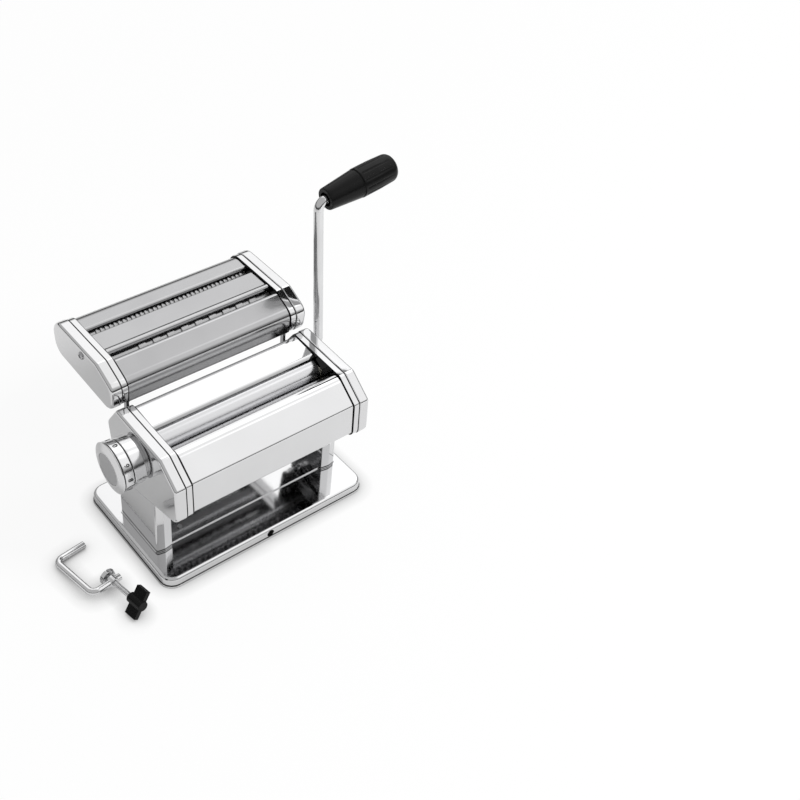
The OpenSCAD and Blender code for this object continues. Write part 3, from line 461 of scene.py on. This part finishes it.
FINISHES = {
    "mirror_chrome": polished_sheet,
    "seamed_chrome": seamed_chrome,
    "footed_chrome": footed_chrome,
    "rimmed_chrome": rimmed_chrome,
    "drawn_steel": drawn_sheet,
    "satin_steel": satin_sheet,
    "roller_metal": turned_roller,
    "bright_rod": drawn_rod,
    "cutter_steel": turned_cutter,
    "gear_steel": machined_gear,
    "fastener_steel": plated_fastener,
    "knob_metal": knob_plating,
    "knob_face": knob_disc,
    "bearing_plastic": bearing_plastic,
    "scraper_plastic": scraper_plastic,
    "black_plastic": black_plastic,
    "dial_ink": dial_ink,
}


def finish(look):
    """The material of a finish, made when it is first asked for."""
    name = "finish_" + look
    material = bpy.data.materials.get(name)
    if material is None:
        material = bpy.data.materials.new(name)
        material.use_nodes = True
        FINISHES[look](Recipe(material.node_tree), bpy.context.scene.pasta_colours)
    return material


# Pieces


def show(mesh):
    """An object for a mesh, in the scene."""
    piece = bpy.data.objects.new(mesh.name, mesh)
    bpy.context.scene.collection.objects.link(piece)
    return piece


def settle(piece):
    """Makes the result of a piece's modifiers its plain mesh."""
    graph = bpy.context.evaluated_depsgraph_get()
    made = bpy.data.meshes.new_from_object(piece.evaluated_get(graph))
    piece.modifiers.clear()
    old, piece.data = piece.data, made
    bpy.data.meshes.remove(old)
    made.name = piece.name


def hand_over(piece, node, look=None):
    """Says what a piece rides on and which finish it takes, and hides the CAD node it stands for.
    """
    if not piece.data.polygons:
        raise RuntimeError(piece.name + " came out empty")
    piece.data.materials.clear()
    piece.data.materials.append(finish(look or SLOT_OF[node]))
    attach(piece, frame["nodes"][node]["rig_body"])
    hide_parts(node)


def joined_copy(node):
    """The mesh of a CAD node with its loose triangles joined and its flat faces made whole."""
    weld, flat = 0.002 * MM, math.radians(0.2)
    shape = bmesh.new()
    shape.from_mesh(frame["nodes"][node].data)
    bmesh.ops.remove_doubles(shape, verts=shape.verts, dist=weld)
    bmesh.ops.dissolve_limit(shape, angle_limit=flat, verts=shape.verts, edges=shape.edges)
    return shape


def ease_edges(shape, width):
    """Rounds the sharp edges, as pressing, plating and moulding leave them.

    A corner that the rounding throws off the shape is put back on it.
    """
    sharp_angle, stray = math.radians(32), 0.45 * width
    before = BVHTree.FromBMesh(shape)
    sharp = [edge for edge in shape.edges
             if len(edge.link_faces) == 2 and edge.calc_face_angle(0.0) > sharp_angle]
    bmesh.ops.bevel(shape, geom=sharp, offset=width, offset_type="OFFSET", segments=2,
                    profile=0.5, affect="EDGES", clamp_overlap=False)
    for vertex in shape.verts:
        spot, _, _, far = before.find_nearest(vertex.co)
        if far > stray:
            vertex.co = spot


def dress(node, edge, look=None, shape=None):
    """Replaces a CAD node by its copy, or a shape made for it, with rounded edges."""
    shape = shape or joined_copy(node)
    ease_edges(shape, edge)
    mesh = bpy.data.meshes.new(node + ".look")
    shape.to_mesh(mesh)
    shape.free()
    mesh.shade_smooth()
    mesh.set_sharp_from_angle(angle=math.radians(50))
    piece = show(mesh)
    piece.modifiers.new("Even shading", "WEIGHTED_NORMAL").keep_sharp = True
    settle(piece)
    hand_over(piece, node, look)


def dress_all(nodes, edge, look=None):
    for node in nodes:
        dress(node, edge, look)


def bent_path(corners):
    """Points and left-hand normals along corners (y, z, radius) whose bends are rounded."""
    steps = 10
    spots = [Vector(corner[:2]) for corner in corners]
    points, normals = [], []

    def add(point, along):
        points.append(point)
        normals.append(Vector((-along.y, along.x)))

    add(spots[0], (spots[1] - spots[0]).normalized())
    for before, spot, after, corner in zip(spots, spots[1:], spots[2:], corners[1:]):
        come, go = (spot - before).normalized(), (after - spot).normalized()
        turn = come.angle_signed(go)
        start = spot - come * corner[2] * math.tan(abs(turn) / 2)
        side = math.copysign(corner[2], -turn)
        centre = start + Vector((-come.y, come.x)) * side
        for step in range(steps + 1):
            swing = Matrix.Rotation(-turn * step / steps, 2)
            add(centre + swing @ (start - centre), swing @ come)
    add(spots[-1], (spots[-1] - spots[-2]).normalized())
    return points, normals


def bent_sheet(corners, thickness, left, right):
    """A sheet bent along corners in the YZ plane, from left to right along X."""
    points, normals = bent_path(corners)
    outer = [p - n * thickness / 2 for p, n in zip(points, normals)]
    inner = [p + n * thickness / 2 for p, n in zip(points, normals)]
    shape = bmesh.new()
    ends = [[shape.verts.new((x, p.x, p.y)) for p in outer + inner[::-1]] for x in (left, right)]
    count = len(ends[0])
    for i in range(count):
        j = (i + 1) % count
        shape.faces.new((ends[0][i], ends[0][j], ends[1][j], ends[1][i]))
    for end in ends:
        shape.faces.new(end)
    bmesh.ops.recalc_face_normals(shape, faces=shape.faces)
    return shape


def turned_ring(shape, centre, section):
    """Adds to a shape a ring about the X axis, with a section of corners (x, radius)."""
    steps = 96
    loops = []
    for step in range(steps):
        angle = 2 * math.pi * step / steps
        across, up = math.cos(angle), math.sin(angle)
        loops.append([shape.verts.new((x, centre.y + r * across, centre.z + r * up))
                      for x, r in section])
    for one, two in zip(loops, loops[1:] + loops[:1]):
        for i in range(len(section)):
            j = (i + 1) % len(section)
            shape.faces.new((one[i], one[j], two[j], two[i]))


def digit_mesh(digit, size):
    """A thin number made of triangles, centred and facing +Z."""
    letter = bpy.data.curves.new("digit", "FONT")
    letter.body = str(digit)
    letter.align_x = letter.align_y = "CENTER"
    letter.size = size
    letter.extrude = 0.1 * MM
    letter.resolution_u = 3
    holder = bpy.data.objects.new("digit", letter)
    mesh = bpy.data.meshes.new_from_object(holder)
    bpy.data.objects.remove(holder)
    shape = bmesh.new()
    shape.from_mesh(mesh)
    bmesh.ops.triangulate(shape, faces=shape.faces)
    shape.to_mesh(mesh)
    shape.free()
    return mesh


def grow(node, bench, sizes, places=None):
    """A piece for a CAD node, made by a geometry tree with sizes, on places with their axes."""
    mesh = bpy.data.meshes.new(node + ".look")
    if places:
        mesh.from_pydata([place for place, _ in places], [], [])
        axes = mesh.attributes.new("axis", "FLOAT_VECTOR", "POINT")
        for entry, (_, axis) in zip(axes.data, places):
            entry.vector = axis
    piece = show(mesh)
    modifier = piece.modifiers.new("Shape", "NODES")
    modifier.node_group = bench.tree
    for name, value in sizes.items():
        modifier[bench.keys[name]] = value
    settle(piece)
    return piece


def set_along(piece, start, axis):
    """Moves a piece's mesh so that its own Z axis runs from a start along an axis."""
    turn = Vector(axis).to_track_quat("Z", "Y").to_matrix().to_4x4()
    piece.data.transform(Matrix.Translation(start) @ turn)


def reach(node, start, axis):
    """How far a node goes along an axis, behind and ahead of a start."""
    lengths = [(vertex.co - start).dot(axis) for vertex in frame["nodes"][node].data.vertices]
    return min(lengths), max(lengths)


def joint_line(name):
    """A point on a joint's axis, and its direction."""
    return Vector(JOINTS[name]["pos_m"]), Vector(JOINTS[name]["axis"]).normalized()


def coil_bench(material):
    bench = Bench("coil", ("Turns", "Radius", "Height", "Wire"))
    size = bench.size
    coil = bench.helix(size["Turns"], size["Radius"], size["Height"], size["Wire"],
                       sides=12, steps=48)
    bench.close(bench.smooth(coil), material)
    return bench


def thread_bench(material):
    """A plain core with a ridge wound round it, and a thinner tip."""
    bench = Bench("thread", ("Length", "Radius", "Pitch", "Depth", "Tip length", "Tip radius"))
    size = bench.size
    length, depth, tip_length = size["Length"], size["Depth"], size["Tip length"]
    core_radius = size["Radius"] - depth
    core = bench.raised(bench.cylinder(core_radius, length, sides=40), length * 0.5)
    tip = bench.cylinder(size["Tip radius"], tip_length + depth, sides=32)
    tip = bench.raised(tip, length + (tip_length - depth) * 0.5)
    wound = length - depth * 2.0
    ridge = bench.helix(wound / size["Pitch"], core_radius, wound, depth, sides=6, steps=32)
    ridge = bench.smooth(bench.raised(ridge, depth))
    bench.close(bench.joined(core, ridge, tip), material)
    return bench


def screw_bench(material):
    """Pan heads with a cross recess on plain shanks, one on each place, along the place's axis."""
    bench = Bench("screws", ("Head radius", "Head height", "Shank radius", "Shank length"))
    size = bench.size
    radius, height, length = size["Head radius"], size["Head height"], size["Shank length"]
    brim, crown = radius * 0.92, radius * 0.5
    skirt_height, dome_height = height * 0.55, height * 0.45
    skirt = bench.cone(radius, brim, skirt_height, sides=40)
    dome = bench.raised(bench.cone(brim, crown, dome_height, sides=40), skirt_height)
    slot_length, slot_width, slot_middle = radius * 1.1, radius * 0.26, height * 0.85
    arm = bench.raised(bench.box(slot_length, slot_width, height), slot_middle)
    crossing = bench.raised(bench.box(slot_width, slot_length, height), slot_middle)
    head = bench.without(bench.united(skirt, dome), arm, crossing)
    shank = bench.cylinder(size["Shank radius"], length, sides=32)
    shank = bench.raised(shank, length * -0.5)
    axis = bench.node("GeometryNodeInputNamedAttribute", {"data_type": "FLOAT_VECTOR"}, {
        "Name": "axis"})["Attribute"]
    turn = bench.node("FunctionNodeAlignRotationToVector", {"axis": "Z"}, {
        "Vector": axis})["Rotation"]
    set_on = bench.node("GeometryNodeInstanceOnPoints", None, {
        "Points": size["Geometry"], "Instance": bench.joined(head, shank),
        "Rotation": turn})["Instances"]
    bench.close(set_on, material)
    return bench


# Sizes and colours that a user would change


class PastaSizes(bpy.types.PropertyGroup):
    """Sizes of the small shapes that the CAD model leaves plain."""

    sheet_edge: FloatProperty(
        name="Sheet edge", description="Rounding of the edges of the sheet metal",
        default=0.25 * MM, min=0.05 * MM, max=0.4 * MM, unit="LENGTH")
    cover_edge: FloatProperty(
        name="Cover edge", description="Rounding of the edges of the covers and the base",
        default=0.4 * MM, min=0.1 * MM, max=0.6 * MM, unit="LENGTH")
    small_edge: FloatProperty(
        name="Small edge", description="Rounding of the edges of the small pieces",
        default=0.12 * MM, min=0.05 * MM, max=0.2 * MM, unit="LENGTH")
    moulded_edge: FloatProperty(
        name="Moulded edge", description="Rounding of the edges of the clamp's wing",
        default=0.3 * MM, min=0.1 * MM, max=0.5 * MM, unit="LENGTH")
    spring_wire: FloatProperty(
        name="Spring wire", description="Wire diameter of the dial spring",
        default=1.2 * MM, min=0.8 * MM, max=1.4 * MM, unit="LENGTH")
    spring_turns: FloatProperty(
        name="Spring turns", description="Number of turns of the dial spring",
        default=3.5, min=2.0, max=5.0)
    digit_size: FloatProperty(
        name="Digit size", description="Height of the line of the numbers on the dial",
        default=6.0 * MM, min=2.0 * MM, max=7.0 * MM, unit="LENGTH")
    thread_radius: FloatProperty(
        name="Thread radius", description="Outer radius of the clamp screw",
        default=2.3 * MM, min=1.5 * MM, max=4.0 * MM, unit="LENGTH")
    thread_pitch: FloatProperty(
        name="Thread pitch", description="Rise of the clamp screw's thread in one turn",
        default=1.25 * MM, min=0.8 * MM, max=2.0 * MM, unit="LENGTH")
    thread_depth: FloatProperty(
        name="Thread depth", description="Depth of the clamp screw's thread",
        default=0.3 * MM, min=0.1 * MM, max=0.6 * MM, unit="LENGTH")


def colour(name, description, default):
    return FloatVectorProperty(name=name, description=description, default=default,
                               subtype="COLOR", min=0.0, max=1.0)


class PastaColours(bpy.types.PropertyGroup):
    """Base colours of the finishes."""

    polished: colour("Polished steel", "Plates, covers, hood, base, rods", (0.69, 0.69, 0.695))
    drawn: colour("Drawn steel", "Sheets of the cutter head", (0.42, 0.42, 0.425))
    satin: colour("Satin steel", "Index ring, knob disc and cutters", (0.48, 0.48, 0.485))
    roller: colour("Rollers", "Smooth sheet rollers", (0.62, 0.62, 0.63))
    gear: colour("Gears", "Plain machined steel", (0.3, 0.3, 0.31))
    plated: colour("Fasteners", "Plated screws, studs and bars", (0.45, 0.45, 0.46))
    bearing: colour("Bushes", "Moulded bushes and slide blocks", (0.8, 0.78, 0.7))
    scraper: colour("Scrapers", "Moulded scrapers and combs", (0.1, 0.1, 0.105))
    black: colour("Black plastic", "Grip, wing and dial ink", (0.003, 0.003, 0.003))


class PastaStudio(bpy.types.PropertyGroup):
    """Camera and light."""

    azimuth: FloatProperty(
        name="Azimuth", description="Turn of the camera round the machine",
        default=math.radians(-41.8001), subtype="ANGLE")
    elevation: FloatProperty(
        name="Elevation", description="Height of the camera above the horizon",
        default=math.radians(42.2702), subtype="ANGLE")
    roll: FloatProperty(
        name="Roll", description="Turn of the camera round its own axis",
        default=math.radians(-5.1673), subtype="ANGLE")
    place: FloatVectorProperty(
        name="Place", description="Where the camera stands",
        default=(-0.39166, -0.58286, 0.75111), subtype="TRANSLATION", unit="LENGTH")
    lens: FloatProperty(
        name="Lens", description="Focal length on a 36 mm wide sensor, in millimetres",
        default=53.565, min=20.0, max=200.0)
    side_shift: FloatProperty(
        name="Side shift", description="How far the frame lies beside the lens axis, in widths",
        default=0.0625, min=-0.5, max=0.5)
    key_light: FloatProperty(
        name="Key light", description="Power of the softbox on the right",
        default=100.0, min=0.0, unit="POWER")
    floor_white: FloatProperty(
        name="Floor white", description="Share of plain white in the floor as it is seen",
        default=0.92, min=0.0, max=1.0, subtype="FACTOR")
    contact_reach: FloatProperty(
        name="Contact reach", description="How far the contact shade reaches on the floor",
        default=0.014, min=0.001, max=0.2, unit="LENGTH")
    floor_shine: FloatProperty(
        name="Floor in metal", description="Share of plain white in the floor as metal shows it",
        default=0.28, min=0.0, max=1.0, subtype="FACTOR")


# Operators


class PASTA_OT_base(bpy.types.Operator):
    """Dress the pressed base, its clamp socket, the pedestals and the floor sheet"""

    bl_idname = "pasta.base"
    bl_label = "Base and pedestals"

    def execute(self, context):
        sizes = context.scene.pasta_sizes
        dress("base_plate", sizes.cover_edge, "rimmed_chrome")
        dress("clamp_socket", sizes.small_edge)
        dress("body_floor", sizes.sheet_edge)
        dress_all(("left_cheek", "right_cheek"), sizes.sheet_edge, "footed_chrome")
        return {"FINISHED"}


class PASTA_OT_sides(bpy.types.Operator):
    """Dress the side plates and covers of the roller unit and of the cutter head"""

    bl_idname = "pasta.sides"
    bl_label = "Side plates and covers"

    def execute(self, context):
        sizes = context.scene.pasta_sizes
        for side in ("left", "right"):
            plates = (side + "_side_plate", side + "_cutter_plate")
            covers = (side + "_cover", side + "_cutter_cover")
            dress_all(plates, sizes.sheet_edge, "seamed_chrome")
            dress_all(covers, sizes.cover_edge, "seamed_chrome")
        return {"FINISHED"}


class PASTA_OT_sheets(bpy.types.Operator):
    """Dress the hood, the deck and the sheets of the cutter head"""

    bl_idname = "pasta.sheets"
    bl_label = "Hood, deck and cutter sheets"

    def execute(self, context):
        edge = context.scene.pasta_sizes.sheet_edge
        dress("front_hood", edge, "seamed_chrome", self.rolled_hood())
        dress("rear_deck", edge, "seamed_chrome")
        for place in ("rear", "middle", "front"):
            dress(place + "_cutter_sheet", edge, "drawn_steel")
        return {"FINISHED"}

    @staticmethod
    def rolled_hood():
        """The hood with one soft roll from its lip to its slope, and a seam at each end."""
        low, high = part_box("front_hood")
        half_sheet, inset, seam = 0.6 * MM, 0.54 * MM, 0.9 * MM
        lip, front = high.y - inset, low.y + inset
        top, foot = high.z - half_sheet, low.z + 2.57 * MM
        shoulder = foot + 29.0 * MM
        # Each corner: y, z and the radius of its bend
        corners = (
            (lip, top - 2.5 * MM),
            (lip - 1.5 * MM, top, 4.8 * MM),
            (lip - 8.42 * MM, top, 11.4 * MM),
            (front + 1.0 * MM, shoulder, 3.0 * MM),
            (front, foot, 2.5 * MM),
            (front + 6.0 * MM, foot - 2.0 * MM),
        )
        return bent_sheet(corners, 2 * half_sheet, low.x + seam, high.x - seam)


class PASTA_OT_rollers(bpy.types.Operator):
    """Dress the sheet rollers, their bearings and their scrapers"""

    bl_idname = "pasta.rollers"
    bl_label = "Rollers and scrapers"

    def execute(self, context):
        sizes = context.scene.pasta_sizes
        dress_all(("front_roller", "rear_roller"), sizes.sheet_edge)
        dress_all(("front_scraper", "rear_scraper"), sizes.small_edge)
        bearings = ("roller_bushes", "drive_bush", "left_slide_block", "right_slide_block")
        dress_all(bearings, sizes.small_edge)
        return {"FINISHED"}


class PASTA_OT_gears(bpy.types.Operator):
    """Dress the gears of the rollers and of the cutters"""

    bl_idname = "pasta.gears"
    bl_label = "Gears"

    def execute(self, context):
        gears = ["front_gear", "rear_gear", "drive_pinion"]
        for pair in ("fine_", "wide_"):
            gears += [pair + "drive_gear", pair + "driven_gear"]
        dress_all(gears, context.scene.pasta_sizes.small_edge)
        return {"FINISHED"}


class PASTA_OT_fasteners(bpy.types.Operator):
    """Dress the screws, studs, bars and rails"""

    bl_idname = "pasta.fasteners"
    bl_label = "Fasteners and bars"

    def execute(self, context):
        nodes = ("frame_studs", "tie_bars", "dock_rails", "cutter_tie_rods")
        dress_all(nodes, context.scene.pasta_sizes.small_edge)
        bench = screw_bench(finish("fastener_steel"))
        self.screw_covers(bench)
        self.screw_floor(bench)
        return {"FINISHED"}

    @staticmethod
    def set_screws(node, bench, head_radius, head_height, shank_length, places):
        sizes = {"Head radius": head_radius, "Head height": head_height,
                 "Shank radius": 2.0 * MM, "Shank length": shank_length}
        hand_over(grow(node, bench, sizes, places), node)

    def screw_covers(self, bench):
        """One screw in each cover of the cutter head, with its head outside."""
        low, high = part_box("cutter_screws")
        middle = (low + high) / 2
        head, shank = 1.6 * MM, 15.0 * MM
        seat = high.x - head
        places = [((side * seat, middle.y, middle.z), (side, 0.0, 0.0)) for side in (-1.0, 1.0)]
        self.set_screws("cutter_screws", bench, (high.y - low.y) / 2, head, shank, places)

    def screw_floor(self, bench):
        """Four screws through the floor sheet, with their heads below."""
        low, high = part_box("base_screws")
        head, radius = 2.4 * MM, 3.8 * MM
        shank = high.z - low.z - head
        places = [((x, y, low.z + head), (0.0, 0.0, -1.0))
                  for x in (low.x + radius, high.x - radius)
                  for y in (low.y + radius, high.y - radius)]
        self.set_screws("base_screws", bench, radius, head, shank, places)


class PASTA_OT_dial(bpy.types.Operator):
    """Dress the thickness dial, its shaft, spring and index ring"""

    bl_idname = "pasta.dial"
    bl_label = "Thickness dial"

    def execute(self, context):
        sizes = context.scene.pasta_sizes
        dress_all(("index_ring", "dial_shaft"), sizes.small_edge)
        self.wind_spring(sizes)
        dress_all(("dial_knob", "dial_cap"), sizes.sheet_edge)
        self.ink_knob(sizes)
        return {"FINISHED"}

    @staticmethod
    def ink_knob(sizes):
        """Inks numbers 0 to 9 round the knob's outer band, one for each step, and lays dark rings
        of painted shade in its grooves.
        """
        point, _ = joint_line("dial_turn")
        low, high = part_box("dial_knob")
        face, rim = low.x, (high.z - low.z) / 2
        band_front, band_middle, band_rear, lift = 4.5 * MM, 7.5 * MM, 10.5 * MM, 0.04 * MM
        band = [vertex.co for vertex in frame["nodes"]["dial_knob"].data.vertices
                if band_front < vertex.co.x - face < band_rear]
        radius = max(math.hypot(co.y - point.y, co.z - point.z) for co in band)
        last = 9
        step = math.radians(JOINTS["dial_turn"]["range_deg"][1]) / last
        ink_with_groove_shade = bmesh.new()
        for digit in range(last + 1):
            mesh = digit_mesh(digit, sizes.digit_size)
            for vertex in mesh.vertices:
                angle = vertex.co.x / radius - digit * step
                away = radius + lift + vertex.co.z
                vertex.co = (face + band_middle + vertex.co.y,
                             point.y - away * math.sin(angle),
                             point.z + away * math.cos(angle))
            ink_with_groove_shade.from_mesh(mesh)
            bpy.data.meshes.remove(mesh)
        # Two dark rings where the knob's grooves lie: painted shade, in the ink's material
        for behind_face, below_rim in ((3.0 * MM, 1.6 * MM), (11.4 * MM, 2.2 * MM)):
            start, end = face + behind_face - 0.05 * MM, face + behind_face + 0.65 * MM
            inner, outer = rim - below_rim - 0.1 * MM, rim - below_rim + 0.45 * MM
            turned_ring(ink_with_groove_shade, point, ((start, inner), (start, outer), (end, outer), (end, inner)))
        bmesh.ops.remove_doubles(ink_with_groove_shade, verts=ink_with_groove_shade.verts, dist=0.001 * MM)
        bmesh.ops.recalc_face_normals(ink_with_groove_shade, faces=ink_with_groove_shade.faces)
        mesh = bpy.data.meshes.new("dial_digits_and_painted_rings.look")
        ink_with_groove_shade.to_mesh(mesh)
        ink_with_groove_shade.free()
        mesh.materials.append(finish("dial_ink"))
        piece = show(mesh)
        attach(piece, frame["nodes"]["dial_knob"]["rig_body"])

    @staticmethod
    def wind_spring(sizes):
        """A coil in the room of the CAD spring, with a mesh of its own."""
        low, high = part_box("dial_spring")
        middle = (low + high) / 2
        wire = sizes.spring_wire / 2
        length = high.x - low.x
        coil = grow("dial_spring", coil_bench(finish("fastener_steel")), {
            "Turns": sizes.spring_turns, "Radius": (high.y - low.y) / 2 - wire,
            "Height": length - 2 * wire, "Wire": wire})
        set_along(coil, Vector((high.x - wire, middle.y, middle.z)), (-1.0, 0.0, 0.0))
        hand_over(coil, "dial_spring")
        pull = JOINTS["dial_pull"]
        (length - pull["range_m"][1]) / length
        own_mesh(coil)


class PASTA_OT_crank(bpy.types.Operator):
    """Dress the crank rod and its grip"""

    bl_idname = "pasta.crank"
    bl_label = "Crank"

    def execute(self, context):
        dress_all(("crank_rod", "crank_grip"), context.scene.pasta_sizes.small_edge)
        return {"FINISHED"}


class PASTA_OT_cutters(bpy.types.Operator):
    """Dress the cutters, their combs and their bushes"""

    bl_idname = "pasta.cutters"
    bl_label = "Cutters and combs"

    def execute(self, context):
        edge = context.scene.pasta_sizes.small_edge
        for pair in ("fine_", "wide_"):
            dress_all((pair + "front_cutter", pair + "rear_cutter", pair + "combs"), edge)
        dress("cutter_bushes", edge)
        return {"FINISHED"}


class PASTA_OT_clamp(bpy.types.Operator):
    """Dress the table clamp"""

    bl_idname = "pasta.clamp"
    bl_label = "Table clamp"

    def execute(self, context):
        sizes = context.scene.pasta_sizes
        dress_all(("clamp_frame", "clamp_pad"), sizes.small_edge)
        dress("clamp_wing", sizes.moulded_edge)
        self.cut_thread(sizes)
        return {"FINISHED"}

    @staticmethod
    def cut_thread(sizes):
        """The clamp's screw with its thread, and a thinner tip in the pad."""
        point, axis = joint_line("clamp_turn")
        behind, ahead = reach("clamp_screw", point, axis)
        tip, tip_step = 2.2 * MM, 1.0 * MM
        rod = grow("clamp_screw", thread_bench(finish("bright_rod")), {
            "Length": ahead - behind - tip, "Radius": sizes.thread_radius,
            "Pitch": sizes.thread_pitch, "Depth": sizes.thread_depth,
            "Tip length": tip, "Tip radius": sizes.thread_radius - tip_step})
        set_along(rod, point + axis * behind, axis)
        hand_over(rod, "clamp_screw")


# Stage


# Soft bright panels of the studio: direction, outer and inner half angle in degrees, strength
SKY_PANELS = (
    ((0.49, 0.55, 0.67), 34.0, 20.0, 0.75),
    ((0.49, 0.10, 0.865), 30.0, 18.0, 0.6),
    ((0.52, -0.51, 0.68), 29.0, 14.0, 0.62),
)


def softbox(name, direction, distance, size, power):
    """A square area lamp that faces the middle of the machine."""
    lamp = bpy.data.lights.new(name, "AREA")
    lamp.shape = "SQUARE"
    lamp.size = size
    lamp.energy = power
    target = Vector((0.0, 0.0, 0.1))
    place = target + Vector(direction).normalized() * distance
    turn = (target - place).to_track_quat("-Z", "Y").to_matrix().to_4x4()
    holder = bpy.data.objects.new(name, lamp)
    holder.matrix_world = Matrix.Translation(place) @ turn
    bpy.context.scene.collection.objects.link(holder)
    return holder


class PASTA_OT_stage(bpy.types.Operator):
    """Set the floor, the light and the camera"""

    bl_idname = "pasta.stage"
    bl_label = "Stage"

    def execute(self, context):
        studio = context.scene.pasta_studio
        self.set_floor(studio)
        self.set_world(context.scene)
        key = softbox("key_softbox", direction=(0.52, -0.52, 0.67), distance=3.0, size=0.7,
                      power=studio.key_light)
        key.visible_glossy = False
        self.set_camera(context.scene, studio)
        context.scene.view_settings.view_transform = "Standard"
        return {"FINISHED"}

    @staticmethod
    def set_floor(studio):
        """A wide white floor, with a soft painted shade where the machine stands on it."""
        half = 6.0
        mesh = bpy.data.meshes.new("floor")
        corners = [(-half, -half, 0.0), (half, -half, 0.0), (half, half, 0.0), (-half, half, 0.0)]
        mesh.from_pydata(corners, [], [(0, 1, 2, 3)])
        floor = show(mesh)
        material = bpy.data.materials.new("stage_floor")
        material.use_nodes = True
        recipe = Recipe(material.node_tree)
        fade_start, fade_end = 0.5, 2.0
        grey = (0.6, 0.6, 0.6, 1.0)
        away = recipe.length_of(recipe.place())
        far_white = recipe.soft_step(away, fade_start, fade_end, 1.0 - studio.floor_white)
        seen = recipe.node("ShaderNodeLightPath")
        share = seen["Is Camera Ray"] * (studio.floor_white + far_white)
        share = share + (seen["Is Glossy Ray"] + seen["Is Transmission Ray"]) * studio.floor_shine
        matt = recipe.node("ShaderNodeBsdfDiffuse", None, {"Color": grey})["BSDF"]
        # Ambient occlusion darkens the floor's white near the machine: painted contact shadow
        painted_contact_shade = recipe.node("ShaderNodeAmbientOcclusion", {"samples": 16}, {
            "Distance": studio.contact_reach})["Color"]
        white = recipe.node("ShaderNodeEmission", None, {
            "Color": painted_contact_shade, "Strength": 1.0})["Emission"]
        mixed = recipe.node("ShaderNodeMixShader", None, {0: share, 1: matt, 2: white})["Shader"]
        recipe.node("ShaderNodeOutputMaterial", None, {"Surface": mixed})
        mesh.materials.append(material)

    @staticmethod
    def set_world(scene):
        """Grey walls, dark at the horizon, with bright panels. The camera sees plain white."""
        world = bpy.data.worlds.new("studio")
        world.use_nodes = True
        scene.world = world
        recipe = Recipe(world.node_tree)
        ray = recipe.node("ShaderNodeTexCoord")["Generated"]
        dark_height, grey_height, grey, dark = 0.08, 0.32, 0.55, 0.03
        walls = recipe.soft_step(recipe.parts_of(ray)["Z"], dark_height, grey_height, grey) + dark
        for direction, wide, narrow, strength in SKY_PANELS:
            facing = recipe.node("ShaderNodeVectorMath", {"operation": "DOT_PRODUCT"}, {
                0: ray, 1: Vector(direction).normalized()})["Value"]
            edges = [math.cos(math.radians(angle)) for angle in (wide, narrow)]
            walls = walls + recipe.soft_step(facing, *edges, strength)
        seen = recipe.node("ShaderNodeLightPath")["Is Camera Ray"]
        tone = recipe.blend(seen, walls, (1.0, 1.0, 1.0, 1.0))
        shader = recipe.node("ShaderNodeBackground", None, {
            "Color": tone, "Strength": 1.0})["Background"]
        recipe.node("ShaderNodeOutputWorld", None, {"Surface": shader})

    @staticmethod
    def set_camera(scene, studio):
        lens = bpy.data.cameras.new("camera")
        lens.sensor_width = 36.0
        lens.lens = studio.lens
        lens.shift_x = studio.side_shift
        lens.clip_start = 0.01
        camera = bpy.data.objects.new("camera", lens)
        back = Vector((math.sin(studio.azimuth) * math.cos(studio.elevation),
                       -math.cos(studio.azimuth) * math.cos(studio.elevation),
                       math.sin(studio.elevation)))
        level = back.to_track_quat("Z", "Y").to_matrix()
        turned = level @ Matrix.Rotation(-studio.roll, 3, "Z")
        camera.matrix_world = Matrix.Translation(studio.place) @ turned.to_4x4()
        scene.collection.objects.link(camera)
        scene.camera = camera


# Panel and registration


class PASTA_PT_panel(bpy.types.Panel):
    """Lists the pieces of the pasta machine with their sizes and colours"""

    bl_idname = "PASTA_PT_panel"
    bl_label = "Pasta machine"
    bl_space_type = "VIEW_3D"
    bl_region_type = "UI"
    bl_category = "Pasta machine"

    def draw(self, context):
        for operator in OPERATORS:
            self.layout.operator(operator.bl_idname)
        for name in GROUPS:
            group = getattr(context.scene, name)
            box = self.layout.box()
            for key in group.__annotations__:
                box.prop(group, key)


GROUPS = {"pasta_sizes": PastaSizes, "pasta_colours": PastaColours, "pasta_studio": PastaStudio}
OPERATORS = (
    PASTA_OT_base, PASTA_OT_sides, PASTA_OT_sheets, PASTA_OT_rollers, PASTA_OT_gears,
    PASTA_OT_fasteners, PASTA_OT_dial, PASTA_OT_crank, PASTA_OT_cutters, PASTA_OT_clamp,
    PASTA_OT_stage,
)


def register():
    for group in GROUPS.values():
        bpy.utils.register_class(group)
    for name, group in GROUPS.items():
        setattr(bpy.types.Scene, name, PointerProperty(type=group))
    for made in (*OPERATORS, PASTA_PT_panel):
        bpy.utils.register_class(made)


def unregister():
    for made in reversed((*OPERATORS, PASTA_PT_panel)):
        bpy.utils.unregister_class(made)
    for name, group in GROUPS.items():
        delattr(bpy.types.Scene, name)
        bpy.utils.unregister_class(group)


def main():
    register()
    for operator in OPERATORS:
        group, name = operator.bl_idname.split(".")
        getattr(getattr(bpy.ops, group), name)()


if __name__ == "__main__":
    main()
